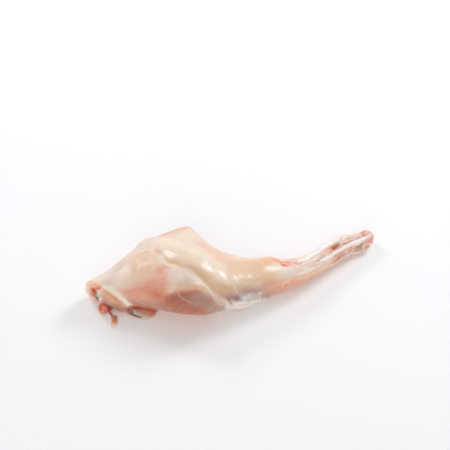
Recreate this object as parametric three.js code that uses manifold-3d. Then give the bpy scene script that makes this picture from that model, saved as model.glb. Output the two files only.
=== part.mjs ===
// Raw rabbit hind leg, skinned and jointed, lying on its inner side.
// Millimetres, +Z up, the long axis (cut hip -> hock) along +X, resting on z = 0.
//
// Two solids:
//   leg_meat    all the flesh in one piece: thigh, calf, shank and hock, with the
//               oblique cut at the hip, its fascia lip and pocket, the flap of
//               muscle under the cut, a lump of trimmed muscle and a loose shred
//   shank_bone  the shin bone, bare along the top of the hock, which runs on
//               inside the shank to just below the knee
import * as THREE from 'three';
import { mergeVertices } from 'three/addons/utils/BufferGeometryUtils.js';
import Module from 'manifold-3d';

const wasm = await Module();
wasm.setup();

// ---------------------------------------------------------------- dimensions
const AXIS_TURN = -14 * Math.PI / 180;  // turns the lying leg so that hip -> hock is +X
const CLEAR = 0.3;                      // gap between bone and meat

// Sections across the leg, each a rounded slab standing on its lower edge:
//   x      place along the leg
//   mid    sideways place of the middle
//   half   half of the width
//   zMid   height of the middle
//   thick  half of the thickness
//   thin   how much of the thickness is lost towards the back edge (0..1)
//   roll   rise (+) or fall (-) of the back edge
const SECTION = {
  hipEnd:    { x: -108, mid: -18.0, half:  5.8, zMid: 10.5, thick: 12.5, thin: 0.00, roll:  0.0 },
  hip:       { x:  -96, mid: -14.6, half:  9.0, zMid: 11.1, thick: 13.4, thin: 0.02, roll:  0.0 },
  haunch:    { x:  -86, mid: -11.0, half: 12.5, zMid: 12.0, thick: 14.8, thin: 0.05, roll: -0.3 },
  rump:      { x:  -75, mid:  -5.9, half: 18.1, zMid: 13.8, thick: 17.0, thin: 0.12, roll: -0.9 },
  upper:     { x:  -62, mid:  -1.9, half: 26.0, zMid: 16.0, thick: 19.4, thin: 0.24, roll: -2.2 },
  thigh:     { x:  -45, mid:   0.5, half: 34.4, zMid: 17.6, thick: 21.2, thin: 0.38, roll: -4.2 },
  corner:    { x:  -31, mid:   1.7, half: 39.3, zMid: 17.9, thick: 21.7, thin: 0.45, roll: -5.4 },
  flap:      { x:  -26, mid:  -0.9, half: 36.9, zMid: 17.8, thick: 21.5, thin: 0.45, roll: -5.4 },
  ham:       { x:  -19, mid:  -4.3, half: 33.1, zMid: 17.2, thick: 20.6, thin: 0.38, roll: -4.5 },
  stifle:    { x:   -6, mid:  -7.0, half: 24.9, zMid: 15.4, thick: 17.4, thin: 0.25, roll: -2.4 },
  knee:      { x:   12, mid:  -6.7, half: 18.5, zMid: 13.8, thick: 14.6, thin: 0.12, roll: -0.8 },
  calf:      { x:   28, mid:  -3.2, half: 16.6, zMid: 12.6, thick: 12.4, thin: 0.05, roll:  0.0 },
  lowCalf:   { x:   41, mid:  -0.4, half: 11.9, zMid: 11.6, thick: 10.6, thin: 0.00, roll:  0.0 },
  shank:     { x:   54, mid:   5.1, half:  9.9, zMid: 10.5, thick:  9.2, thin: 0.00, roll:  0.0 },
  lowShank:  { x:   72, mid:  18.5, half: 10.0, zMid:  8.6, thick:  7.4, thin: 0.00, roll:  0.0 },
  hock:      { x:   88, mid:  28.5, half:  7.4, zMid:  7.2, thick:  7.0, thin: 0.00, roll:  0.0 },
  hockEnd:   { x:  103, mid:  35.1, half:  4.6, zMid:  6.4, thick:  6.4, thin: 0.00, roll:  0.0 },
};
const SQUARENESS = 2.15;   // 2 = ellipse, more = squarer sections
const REST_SOFT = 1.2;     // how softly the underside flattens where it rests
const ALONG = 54;          // rings along the leg
const AROUND = 36;         // points around it

// Seams and swellings on the upper side, as plan routes on the lying leg:
// depth is down (+) or up (-), wide is the half width of the groove or swelling
const RELIEF = [
  { depth:  1.7, wide: 3.6, route: [[-55, 6], [-48, 0], [-40, -8], [-24, -18], [-12, -27], [-1, -29]] },  // seam in front of the ham muscle
  { depth: -1.3, wide: 5.0, route: [[-47, 8], [-33, 1], [-16, -10], [-4, -18]] },                         // swell of the ham muscle
  { depth:  0.9, wide: 3.0, route: [[-29, 17], [-14, 10], [4, 6]] },                                      // edge of the thin back flap
  { depth: -1.0, wide: 6.0, route: [[-76, -8], [-62, -4], [-50, -10]] },                                  // rump muscle
  { depth:  1.3, wide: 4.5, route: [[-2, -27], [9, -25], [22, -21]] },                                    // hollow beside the kneecap
  { depth:  0.9, wide: 3.0, route: [[24, -17], [35, -11], [54, -1], [66, 6]] },                           // seam between calf and shin
  { depth:  1.2, wide: 2.6, route: [[52, 6], [62, 11], [72, 19]] },                                       // furrow in front of the heel tendon
];

// The oblique cut at the hip: a plane facing front-left, and its right-hand end
const CUT_NORMAL = [-0.39, -0.92, 0.02];
const CUT_END = [-71.0, -25.2, 8.0];
// Fascia lip that frames the cut along its upper edge
const LIP = { route: [[-103, -11.0, 11], [-99.5, -12.4, 18.5], [-95, -14.4, 22.2], [-88, -17.3, 22.2], [-80, -20.6, 19.4], [-75, -22.6, 15.2], [-71.6, -23.6, 9.8], [-70.4, -23.2, 6.0]], radius: 2.1 };
// Bloody pocket in the left of the cut, with the depth along the cut's normal
const POCKET = { at: [-97.0, -14.4, 10.5], size: [3.6, 4.6, 5.8] };
// Muscle that bulges from the cut, below the lip
const STUMP = { at: [-83.6, -18.6, 8.4], size: [13.4, 6.4, 8.2], turn: -23 };
// Flap of muscle and fat that comes out under the thigh
const FLAP = [
  { at: [-73, -22.8, 4.2], size: [9.5, 4.4, 4.2], turn: -16 },
  { at: [-61, -26.6, 4.4], size: [8.6, 4.6, 4.2], turn: -4 },
  { at: [-57, -20.0, 5.5], size: [8.0, 7.0, 5.0], turn: 0 },
];
// Trimmed lump of muscle at the foot of the cut, and the shred that hangs from it
const LUMP = [
  { at: [-90.4, -23.0, 4.0], size: [4.2, 3.8, 4.2], turn: -20 },
  { at: [-86.8, -21.8, 3.6], size: [4.4, 3.4, 3.8], turn: 30 },
];
const SHRED = { route: [[-88.5, -22.5, 2.6], [-86.0, -25.6, 2.0], [-83.6, -28.6, 1.7], [-82.4, -31.6, 1.9], [-82.4, -34.6, 2.1], [-83.2, -36.4, 2.0]], radii: [1.7, 1.0, 1.0, 1.9, 2.2, 1.0] };
// Kneecap, and the fat pad on the rump
const KNEECAP = { at: [5.0, -20.6, 12.4], size: [10.5, 5.4, 8.4], turn: 8 };
const FATPAD = { at: [-57.8, 18.2, 21.5], size: [9.4, 6.0, 6.0], turn: 35 };
// Heel tendon along the top of the shank, the hollow between it and the bone,
// and the joint end beyond it
const HEEL_TENDON = { route: [[36, 7.0, 15.0], [47, 9.5, 15.2], [58, 14.6, 13.2], [66, 20.6, 11.4], [73.5, 28.0, 9.6], [80, 32.2, 9.2], [88, 34.8, 8.4]], radii: [1.6, 2.6, 2.6, 2.5, 2.6, 2.8, 2.2] };
const HOLLOW = { at: [77.3, 25.4, 13.4], size: [5.0, 2.2, 4.6], turn: 42 };
const JOINT_END = [
  { at: [98.2, 34.6, 6.2], size: [8.4, 5.2, 5.8], turn: 28 },
  { at: [103.6, 35.2, 5.4], size: [4.0, 5.0, 4.8], turn: 10 },
];
const JOINT_PIT = { at: [95.6, 27.6, 9.6], size: [3.6, 1.9, 4.2], turn: 32 };
// Slit below the joint end, closed outside by one strand of sinew
const SLIT = { at: [94.7, 27.3, 4.0], size: [2.6, 8.5, 1.5], tip: -22, lean: -55 };
const SINEW = { route: [[84.0, 20.4, 4.6], [88.5, 22.1, 4.0], [91.0, 23.5, 3.8], [94.6, 24.8, 3.8], [98.3, 26.5, 4.2], [102.0, 29.6, 4.8]], radii: [2.4, 1.6, 1.1, 0.9, 1.1, 1.8] };
// Shin bone: middle line and radii, knee end to hock end
const BONE = {
  route: [[24, -6.5, 10.8], [40, -1.5, 11.4], [54, 3.6, 12.6], [63.5, 8.6, 13.3], [69.5, 12.3, 12.4], [75, 16.7, 11.8], [80.3, 20.5, 11.3], [86, 24.6, 11.0], [92, 28.0, 10.5], [98, 31.2, 9.8], [101.6, 33.0, 9.2]],
  radii: [3.9, 3.1, 2.8, 2.8, 2.8, 2.8, 2.8, 2.9, 3.1, 3.4, 2.9],
};

// ------------------------------------------------------------------- helpers
const V = (p) => new THREE.Vector3(p[0], p[1], p[2]);
const smooth = (t) => { const u = Math.min(1, Math.max(0, t)); return u * u * (3 - 2 * u); };

// Three-point cubic through unevenly spaced stations
function through(xs, ys, x) {
  const n = xs.length;
  const slope = (i) => {
    const a = Math.max(0, i - 1), b = Math.min(n - 1, i + 1);
    return (ys[b] - ys[a]) / (xs[b] - xs[a]);
  };
  const c = Math.min(xs[n - 1], Math.max(xs[0], x));
  let i = 0;
  while (i < n - 2 && c >= xs[i + 1]) i++;
  const h = xs[i + 1] - xs[i], t = (c - xs[i]) / h;
  return (2 * t ** 3 - 3 * t ** 2 + 1) * ys[i] + (t ** 3 - 2 * t ** 2 + t) * h * slope(i)
    + (-2 * t ** 3 + 3 * t ** 2) * ys[i + 1] + (t ** 3 - t ** 2) * h * slope(i + 1);
}

// The underside is pressed flat on z = 0
function pressed(z) {
  if (z < -REST_SOFT) return 0;
  if (z > REST_SOFT) return z;
  return (z + REST_SOFT) ** 2 / (4 * REST_SOFT);
}

function distanceToRoute(route, x, y) {
  let best = Infinity;
  for (let i = 0; i + 1 < route.length; i++) {
    const [ax, ay] = route[i], [bx, by] = route[i + 1];
    const dx = bx - ax, dy = by - ay;
    const t = Math.min(1, Math.max(0, ((x - ax) * dx + (y - ay) * dy) / (dx * dx + dy * dy)));
    const d = Math.hypot(x - ax - t * dx, y - ay - t * dy);
    if (d < best) best = d;
  }
  return best;
}

function solidOf(geometry) {
  const g = geometry.clone();
  g.deleteAttribute('normal');
  g.deleteAttribute('uv');
  const m = mergeVertices(g, 1e-4);
  const pos = m.getAttribute('position').array;
  const tri = Uint32Array.from(m.index.array);
  let volume = 0;
  for (let i = 0; i < tri.length; i += 3) {
    const [a, b, c] = [0, 1, 2].map((k) => new THREE.Vector3().fromArray(pos, 3 * tri[i + k]));
    volume += a.dot(b.clone().cross(c)) / 6;
  }
  if (volume < 0) for (let i = 0; i < tri.length; i += 3) [tri[i + 1], tri[i + 2]] = [tri[i + 2], tri[i + 1]];
  return new wasm.Manifold(new wasm.Mesh({ numProp: 3, vertProperties: Float32Array.from(pos), triVerts: tri }));
}

function geometryOf(solid) {
  const mesh = solid.getMesh();
  const g = new THREE.BufferGeometry();
  g.setAttribute('position', new THREE.BufferAttribute(Float32Array.from(mesh.vertProperties), 3));
  g.setIndex(new THREE.BufferAttribute(Uint32Array.from(mesh.triVerts), 1));
  g.computeVertexNormals();
  return g;
}

// Egg-shaped lump: an ellipsoid with half sizes, tipped about Y, leaned about X
// and turned about the vertical
function lump({ at, size, tip = 0, lean = 0, turn = 0 }, across = 16, down = 10) {
  const g = new THREE.SphereGeometry(1, across, down);
  g.rotateX(Math.PI / 2);
  g.scale(...size);
  g.rotateY(tip * Math.PI / 180);
  g.rotateX(lean * Math.PI / 180);
  g.rotateZ(turn * Math.PI / 180);
  g.translate(...at);
  return solidOf(g);
}

// Round limb along a route, with its own radius at each named point
function limb({ route, radii, radius }, sides = 8, steps = 16, grow = 0) {
  const curve = new THREE.CatmullRomCurve3(route.map(V), false, 'centripetal');
  const frames = curve.computeFrenetFrames(steps, false);
  const g = new THREE.CylinderGeometry(1, 1, 1, sides, steps, false);
  const pos = g.getAttribute('position');
  for (let i = 0; i < pos.count; i++) {
    const k = Math.round((0.5 - pos.getY(i)) * steps);
    const t = k / steps;
    let r = radius;
    if (radii) r = through(radii.map((_, j) => j / (radii.length - 1)), radii, t);
    r += grow;
    // the ends are rounded off over the last ring
    if (k === 0 || k === steps) r *= 0.62;
    const p = curve.getPointAt(t)
      .addScaledVector(frames.normals[k], r * pos.getX(i))
      .addScaledVector(frames.binormals[k], r * pos.getZ(i));
    pos.setXYZ(i, p.x, p.y, p.z);
  }
  return solidOf(g);
}

// ---------------------------------------------------------------- leg of meat
function legBody() {
  const rows = Object.values(SECTION);
  const xs = rows.map((s) => s.x);
  const col = (name) => rows.map((s) => s[name]);
  const names = ['mid', 'half', 'zMid', 'thick', 'thin', 'roll'];
  const cols = Object.fromEntries(names.map((n) => [n, col(n)]));
  const length = xs[xs.length - 1] - xs[0];

  const g = new THREE.CylinderGeometry(1, 1, 1, AROUND, ALONG, false);
  const pos = g.getAttribute('position');
  for (let i = 0; i < pos.count; i++) {
    const u = 0.5 - pos.getY(i);
    // rings crowd towards both ends
    const x = xs[0] + length * (u - 0.035 * Math.sin(2 * Math.PI * u));
    const s = Object.fromEntries(names.map((n) => [n, through(xs, cols[n], x)]));
    // both ends are domed
    const nearEnd = Math.min(u, 1 - u) * ALONG;
    const dome = nearEnd < 0.5 ? 0.45 : nearEnd < 1.5 ? 0.86 : nearEnd < 2.5 ? 0.97 : 1;
    const c = pos.getX(i) * dome, q0 = pos.getZ(i) * dome;
    const across = Math.sign(c) * Math.abs(c) ** (2 / SQUARENESS);
    const up = Math.sign(q0) * Math.abs(q0) ** (2 / SQUARENESS);
    const tau = 1 - s.thin * smooth((across + 0.3) / 1.3);
    let z = s.zMid + s.roll * across + s.thick * tau * up;
    const y = s.mid + s.half * across;
    const onTop = smooth((up + 0.05) / 0.5);
    if (onTop > 0) {
      for (const r of RELIEF) {
        const d = distanceToRoute(r.route, x, y) / r.wide;
        z -= r.depth * Math.exp(-d * d) * onTop;
      }
    }
    pos.setXYZ(i, x, y, pressed(z));
  }
  return solidOf(g);
}

// Block of what the hip cut takes away: it lies beyond the plane and stops at CUT_END
function cutAway(size = 80) {
  const n = V(CUT_NORMAL).normalize();
  const along = new THREE.Vector3(-n.y, n.x, 0).normalize();
  const up = n.clone().cross(along);
  const g = new THREE.BoxGeometry(size, size, size);
  g.translate(-size / 2, 0, size / 2);
  g.applyMatrix4(new THREE.Matrix4().makeBasis(along, up, n));
  g.translate(...CUT_END);
  return solidOf(g);
}

let meat = legBody();
meat = meat.add(lump(FATPAD)).add(lump(KNEECAP));
meat = meat.subtract(cutAway());
meat = meat.add(lump(STUMP, 18, 10));
meat = meat.add(limb(LIP, 8, 18));
meat = meat.subtract(lump({ ...POCKET, turn: -23 }, 12, 8));
for (const f of FLAP) meat = meat.add(lump(f));
for (const l of LUMP) meat = meat.add(lump(l, 12, 8));
meat = meat.add(limb(SHRED, 7, 12));
for (const j of JOINT_END) meat = meat.add(lump(j, 14, 9));
meat = meat.subtract(lump(SLIT, 12, 8)).subtract(lump(HOLLOW, 12, 8)).subtract(lump(JOINT_PIT, 10, 8));
meat = meat.add(limb(HEEL_TENDON, 8, 22)).add(limb(SINEW, 7, 12));
meat = meat.subtract(limb(BONE, 12, 34, CLEAR));
const floor = new THREE.BoxGeometry(400, 300, 40);
floor.translate(0, 0, -20);
meat = meat.subtract(solidOf(floor));

const bone = limb(BONE, 12, 34);

// -------------------------------------------------------------- scene graph
const meatMaterial = new THREE.MeshStandardMaterial({ color: '#e3bfa6', roughness: 0.32, metalness: 0 });
const boneMaterial = new THREE.MeshStandardMaterial({ color: '#f0e6da', roughness: 0.4, metalness: 0 });

const lying = new THREE.Group();
for (const [name, solid, material] of [['leg_meat', meat, meatMaterial], ['shank_bone', bone, boneMaterial]]) {
  const mesh = new THREE.Mesh(geometryOf(solid), material);
  mesh.name = name;
  lying.add(mesh);
}
lying.rotation.z = AXIS_TURN;
lying.updateMatrixWorld(true);

// The origin is the middle of the bounding box, on the surface it rests on
const extent = new THREE.Box3().setFromObject(lying, true);
const middle = extent.getCenter(new THREE.Vector3());
lying.position.set(-middle.x, -middle.y, -extent.min.z);

const leg = new THREE.Group();
leg.name = 'rabbit_leg';
leg.add(lying);
leg.updateMatrixWorld(true);

export default leg;
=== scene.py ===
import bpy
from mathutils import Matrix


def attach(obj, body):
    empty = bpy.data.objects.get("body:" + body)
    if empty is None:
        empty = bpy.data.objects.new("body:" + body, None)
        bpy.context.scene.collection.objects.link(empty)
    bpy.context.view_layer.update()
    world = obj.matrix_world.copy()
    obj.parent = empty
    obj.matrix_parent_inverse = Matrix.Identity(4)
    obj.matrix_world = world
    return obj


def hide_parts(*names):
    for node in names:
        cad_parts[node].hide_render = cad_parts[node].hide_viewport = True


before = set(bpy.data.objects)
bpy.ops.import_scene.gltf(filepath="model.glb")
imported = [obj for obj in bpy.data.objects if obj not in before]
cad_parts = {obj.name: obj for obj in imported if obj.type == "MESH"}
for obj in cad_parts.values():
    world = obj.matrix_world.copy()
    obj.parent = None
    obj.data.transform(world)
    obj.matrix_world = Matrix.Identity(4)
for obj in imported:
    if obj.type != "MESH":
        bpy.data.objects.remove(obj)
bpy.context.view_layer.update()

import math

import bpy
import numpy as np

# ---------------------------------------------------------------------------
# Raw rabbit hind leg. All shaping is done in millimetres in the lying frame:
# x to the right of the picture, y away from the viewer, z up from the surface.
# The row frame is that frame turned by TURN and moved by SHIFT.
# ---------------------------------------------------------------------------
TURN = math.radians(-14.0)
SHIFT = np.array([-4.519, -7.935, 0.0])
CT, ST = math.cos(TURN), math.sin(TURN)


def to_row(p):
    """Lying frame in mm -> row frame in metres."""
    p = np.asarray(p, float)
    out = np.empty_like(p)
    out[..., 0] = CT * p[..., 0] - ST * p[..., 1] + SHIFT[0]
    out[..., 1] = ST * p[..., 0] + CT * p[..., 1] + SHIFT[1]
    out[..., 2] = p[..., 2] + SHIFT[2]
    return out / 1000.0


# camera, in the lying frame: 55 degrees above the horizon
ELEV = math.radians(55.0)
LENS, SENSOR, DIST = 100.0, 36.0, 940.0
AIM = np.array([-3.5, 52.0, 0.0])
CAM = AIM + DIST * np.array([0.0, -math.cos(ELEV), math.sin(ELEV)])
UP = np.array([0.0, math.sin(ELEV), math.cos(ELEV)])
FWD = np.array([0.0, math.cos(ELEV), -math.sin(ELEV)])
KPX = 450 * LENS / SENSOR

# ------------------------------------------------------------------ leg form
# x, middle, half width, height of the middle, half thickness, thinning of the
# back edge, roll: the same named sections as the solid model
SECTION = np.array([
    [-108, -18.0, 5.8, 10.5, 12.5, 0.00, 0.0],
    [-96, -14.6, 9.0, 11.1, 13.4, 0.02, 0.0],
    [-86, -11.0, 12.5, 12.0, 14.8, 0.05, -0.3],
    [-75, -5.9, 18.1, 13.8, 17.0, 0.12, -0.9],
    [-62, -1.9, 26.0, 16.0, 19.4, 0.24, -2.2],
    [-45, 0.5, 34.4, 17.6, 21.2, 0.38, -4.2],
    [-31, 1.7, 39.3, 17.9, 21.7, 0.45, -5.4],
    [-26, -0.9, 36.9, 17.8, 21.5, 0.45, -5.4],
    [-19, -4.3, 33.1, 17.2, 20.6, 0.38, -4.5],
    [-6, -7.0, 24.9, 15.4, 17.4, 0.25, -2.4],
    [12, -6.7, 18.5, 13.8, 14.6, 0.12, -0.8],
    [28, -3.2, 16.6, 12.6, 12.4, 0.05, 0.0],
    [41, -0.4, 11.9, 11.6, 10.6, 0.00, 0.0],
    [54, 5.1, 9.9, 10.5, 9.2, 0.00, 0.0],
    [72, 18.5, 10.0, 8.6, 7.4, 0.00, 0.0],
    [88, 28.5, 7.4, 7.2, 7.0, 0.00, 0.0],
    [103, 35.1, 4.6, 6.4, 6.4, 0.00, 0.0],
])
POWER = 2.15

# sampling grid of the distance field
H = 0.6
LO = np.array([-111.0, -46.0, -2.6])
HI = np.array([112.0, 50.0, 46.0])
NG = np.ceil((HI - LO) / H).astype(int) + 1
GX, GY, GZ = [(LO[i] + H * np.arange(NG[i])).astype(np.float32) for i in range(3)]


def smooth(t):
    t = np.clip(t, 0.0, 1.0)
    return t * t * (3 - 2 * t)


def through(xs, ys, x):
    """Three-point cubic through unevenly spaced stations."""
    n = len(xs)
    m = np.empty(n)
    m[0] = (ys[1] - ys[0]) / (xs[1] - xs[0])
    m[-1] = (ys[-1] - ys[-2]) / (xs[-1] - xs[-2])
    m[1:-1] = (ys[2:] - ys[:-2]) / (xs[2:] - xs[:-2])
    x = np.clip(x, xs[0], xs[-1])
    i = np.clip(np.searchsorted(xs, x, side="right") - 1, 0, n - 2)
    h = xs[i + 1] - xs[i]
    t = (x - xs[i]) / h
    return ((2 * t**3 - 3 * t**2 + 1) * ys[i] + (t**3 - 2 * t**2 + t) * h * m[i]
            + (-2 * t**3 + 3 * t**2) * ys[i + 1] + (t**3 - t**2) * h * m[i + 1])


def station(x):
    return [through(SECTION[:, 0], SECTION[:, c], x) for c in range(1, 7)]


def smin(a, b, k):
    h = np.maximum(k - np.abs(a - b), 0.0) / k
    return np.minimum(a, b) - h * h * k * 0.25


def smax(a, b, k):
    return -smin(-a, -b, k)


def base_field():
    mid, half, zmid, thick, thin, roll = [v.astype(np.float32)[:, None] for v in station(GX.astype(float))]
    t = (GY[None, :] - mid) / half
    tau = 1 - thin * smooth((t + 0.3) / 1.3)
    zc = (zmid + roll * t)[..., None]
    bt = (thick * tau)[..., None]
    q = np.abs((GZ[None, None, :] - zc) / bt)
    f = (np.abs(t)[..., None] ** POWER + q**POWER) ** (1 / POWER) - 1
    f = f.astype(np.float32)
    g = np.gradient(f, H)
    size = np.sqrt(g[0] ** 2 + g[1] ** 2 + g[2] ** 2)
    d = (f / np.maximum(size, 0.012)).astype(np.float32)
    # rounded ends of the row of sections
    d = smax(d, np.broadcast_to((GX - 103.0)[:, None, None], d.shape), 3.0)
    return smax(d, np.broadcast_to((-103.6 - GX)[:, None, None], d.shape), 4.0)


class Field:
    """Signed distance on the grid, in mm, joined and cut by smooth primitives."""

    def __init__(self, values):
        self.d = values

    def block(self, lo, hi, pad):
        sl = []
        for i, axis in enumerate((GX, GY, GZ)):
            a = int(np.clip(math.floor((lo[i] - pad - LO[i]) / H), 0, NG[i] - 1))
            b = int(np.clip(math.ceil((hi[i] + pad - LO[i]) / H) + 1, a + 1, NG[i]))
            sl.append(slice(a, b))
        x, y, z = np.meshgrid(GX[sl[0]], GY[sl[1]], GZ[sl[2]], indexing="ij", sparse=True)
        return tuple(sl), x, y, z

    def apply(self, sl, prim, k, cut):
        cur = self.d[sl]
        self.d[sl] = smax(cur, -prim, k) if cut else smin(cur, prim, k)

    def stroke(self, points, radii, k=1.0, cut=False, flat=None):
        """Round cord through points, its radius following radii; flat squeezes it in z."""
        pts = np.array(points, float)
        rad = np.broadcast_to(np.array(radii, float), (len(pts),)) if np.ndim(radii) == 0 else np.array(radii, float)
        pts, rad = refine(pts, rad)
        sl, x, y, z = self.block(pts.min(0), pts.max(0), rad.max() + k + 1.5)
        best = None
        for i in range(len(pts) - 1):
            a, b = pts[i], pts[i + 1]
            ab = b - a
            ll = float(ab @ ab) + 1e-9
            t = np.clip(((x - a[0]) * ab[0] + (y - a[1]) * ab[1] + (z - a[2]) * ab[2]) / ll, 0, 1)
            dz = (z - a[2] - t * ab[2])
            if flat:
                dz = dz / flat
            d = np.sqrt((x - a[0] - t * ab[0]) ** 2 + (y - a[1] - t * ab[1]) ** 2 + dz**2) - (rad[i] + t * (rad[i + 1] - rad[i]))
            best = d if best is None else np.minimum(best, d)
        self.apply(sl, best.astype(np.float32), k, cut)

    def egg(self, at, size, turn=0.0, tip=0.0, lean=0.0, k=1.0, cut=False):
        """Ellipsoid, tipped about y, leaned about x, turned about z (degrees)."""
        at, size = np.array(at, float), np.array(size, float)
        rt, rl, rz = math.radians(tip), math.radians(lean), math.radians(turn)
        ry = np.array([[math.cos(rt), 0, math.sin(rt)], [0, 1, 0], [-math.sin(rt), 0, math.cos(rt)]])
        rx = np.array([[1, 0, 0], [0, math.cos(rl), -math.sin(rl)], [0, math.sin(rl), math.cos(rl)]])
        rzz = np.array([[math.cos(rz), -math.sin(rz), 0], [math.sin(rz), math.cos(rz), 0], [0, 0, 1]])
        m = (rzz @ rx @ ry).T
        reach = np.abs((rzz @ rx @ ry)) @ size
        sl, x, y, z = self.block(at - reach, at + reach, k + 2.0)
        dx, dy, dz = x - at[0], y - at[1], z - at[2]
        loc = [m[i, 0] * dx + m[i, 1] * dy + m[i, 2] * dz for i in range(3)]
        k0 = np.sqrt(sum((loc[i] / size[i]) ** 2 for i in range(3)))
        k1 = np.sqrt(sum((loc[i] / size[i] ** 2) ** 2 for i in range(3)))
        prim = np.where(k1 > 1e-6, k0 * (k0 - 1) / np.maximum(k1, 1e-6), -size.min())
        self.apply(sl, prim.astype(np.float32), k, cut)

    def at(self, p):
        """Trilinear value at points."""
        p = np.asarray(p, float)
        q = (p - LO) / H
        q = np.clip(q, 0, np.array(NG) - 1.001)
        i = np.floor(q).astype(int)
        f = q - i
        d = self.d
        out = 0
        for a in (0, 1):
            wa = f[..., 0] if a else 1 - f[..., 0]
            for b in (0, 1):
                wb = f[..., 1] if b else 1 - f[..., 1]
                for c in (0, 1):
                    wc = f[..., 2] if c else 1 - f[..., 2]
                    out = out + wa * wb * wc * d[i[..., 0] + a, i[..., 1] + b, i[..., 2] + c]
        return out


def refine(pts, rad, step=2.2):
    """Points along a smooth curve through the given ones."""
    n = len(pts)
    if n < 3:
        return pts, rad
    out, orad = [], []
    for i in range(n - 1):
        p0, p1, p2, p3 = pts[max(i - 1, 0)], pts[i], pts[i + 1], pts[min(i + 2, n - 1)]
        m = max(1, int(math.ceil(np.linalg.norm(p2 - p1) / step)))
        for j in range(m):
            t = j / m
            out.append(0.5 * (2 * p1 + (p2 - p0) * t + (2 * p0 - 5 * p1 + 4 * p2 - p3) * t * t + (3 * p1 - p0 - 3 * p2 + p3) * t**3))
            orad.append(rad[i] + (rad[i + 1] - rad[i]) * t)
    out.append(pts[-1])
    orad.append(rad[-1])
    return np.array(out), np.array(orad)


def sight(px, py):
    d = FWD + (px - 225) / KPX * np.array([1.0, 0, 0]) + (225 - py) / KPX * UP
    return d


T_RAY = np.arange(800.0, 1010.0, 0.3)


def hit(field, pix):
    """Points of the surface under the given picture points."""
    out = []
    for px, py in pix:
        ray = CAM + T_RAY[:, None] * sight(px, py)
        v = field.at(ray)
        inside = np.nonzero(v < 0)[0]
        if len(inside) and inside[0] > 0:
            i = inside[0]
            t = v[i - 1] / (v[i - 1] - v[i])
            out.append(ray[i - 1] + t * (ray[i] - ray[i - 1]))
        else:
            out.append(ray[int(np.argmin(v))])
    return np.array(out)


def surface_nets(d):
    """Quads of the zero level, one vertex in each crossed cell."""
    s = d < 0
    nx, ny, nz = d.shape
    c = np.zeros((nx - 1, ny - 1, nz - 1), np.uint8)
    for i in (0, 1):
        for j in (0, 1):
            for k in (0, 1):
                c += s[i:nx - 1 + i, j:ny - 1 + j, k:nz - 1 + k]
    act = (c > 0) & (c < 8)
    idx = np.argwhere(act)
    cid = np.full(act.shape, -1, np.int32)
    cid[act] = np.arange(len(idx), dtype=np.int32)
    off = np.array([(i, j, k) for i in (0, 1) for j in (0, 1) for k in (0, 1)])
    val = np.stack([d[idx[:, 0] + o[0], idx[:, 1] + o[1], idx[:, 2] + o[2]] for o in off], 1)
    tot, cnt = np.zeros((len(idx), 3)), np.zeros(len(idx))
    for a in range(8):
        for b in range(a + 1, 8):
            if np.abs(off[a] - off[b]).sum() != 1:
                continue
            va, vb = val[:, a], val[:, b]
            m = (va < 0) != (vb < 0)
            t = va[m] / (va[m] - vb[m])
            tot[m] += off[a] + (off[b] - off[a]) * t[:, None]
            cnt[m] += 1
    verts = (idx + tot / cnt[:, None]) * H + LO
    quads = []
    for axis in range(3):
        lo = [slice(None)] * 3
        hi = [slice(None)] * 3
        lo[axis], hi[axis] = slice(0, -1), slice(1, None)
        a, b = s[tuple(lo)], s[tuple(hi)]
        e = np.argwhere(a != b)
        u, v = [(1, 2), (2, 0), (0, 1)][axis]
        e = e[(e[:, u] > 0) & (e[:, v] > 0) & (e[:, u] < d.shape[u] - 1) & (e[:, v] < d.shape[v] - 1)]
        outward = a[tuple(e.T)]
        ring = []
        for du, dv in ((-1, -1), (0, -1), (0, 0), (-1, 0)):
            f = e.copy()
            f[:, u] += du
            f[:, v] += dv
            ring.append(cid[tuple(f.T)])
        q = np.stack(ring, 1)
        q[~outward] = q[~outward][:, ::-1]
        quads.append(q)
    quads = np.concatenate(quads)
    return verts, quads


def largest(verts, quads):
    """Keeps the one connected body."""
    lab = np.arange(len(verts))
    edges = np.concatenate([quads[:, [0, 1]], quads[:, [1, 2]], quads[:, [2, 3]]])
    while True:
        m = np.minimum(lab[edges[:, 0]], lab[edges[:, 1]])
        new = lab.copy()
        np.minimum.at(new, edges[:, 0], m)
        np.minimum.at(new, edges[:, 1], m)
        new = new[new]
        new = new[new]
        if (new == lab).all():
            break
        lab = new
    names, sizes = np.unique(lab, return_counts=True)
    keep = lab == names[np.argmax(sizes)]
    number = np.cumsum(keep) - 1
    q = quads[keep[quads[:, 0]]]
    return verts[keep], number[q]


def relax(verts, quads, rounds, lam=0.5, mu=-0.53):
    """Smooths the mesh without shrinking it."""
    n = len(verts)
    e = np.concatenate([quads[:, [0, 1]], quads[:, [1, 2]], quads[:, [2, 3]], quads[:, [3, 0]]])
    deg = np.bincount(e.ravel(), minlength=n).astype(float)
    for r in range(rounds):
        for w in (lam, mu):
            acc = np.zeros_like(verts)
            for c in range(3):
                acc[:, c] = np.bincount(e[:, 0], verts[e[:, 1], c], n) + np.bincount(e[:, 1], verts[e[:, 0], c], n)
            verts = verts + w * (acc / deg[:, None] - verts)
    return verts


def mesh_normals(verts, quads):
    a, b, c, d = [verts[quads[:, i]] for i in range(4)]
    fn = np.cross(c - a, d - b)
    out = np.zeros_like(verts)
    for i in range(4):
        for k in range(3):
            out[:, k] += np.bincount(quads[:, i], fn[:, k], len(verts))
    return out / np.maximum(np.linalg.norm(out, axis=1, keepdims=True), 1e-12)


# -------------------------------------------------------------- build the form
F = Field(base_field())

# rump fat pad, kneecap
F.egg([-59.4, 18.0, 21.0], [8.8, 5.8, 6.0], turn=35, k=3.4)
F.egg([5.0, -20.8, 12.0], [10.5, 5.6, 8.4], turn=8, k=5.0)
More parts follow.
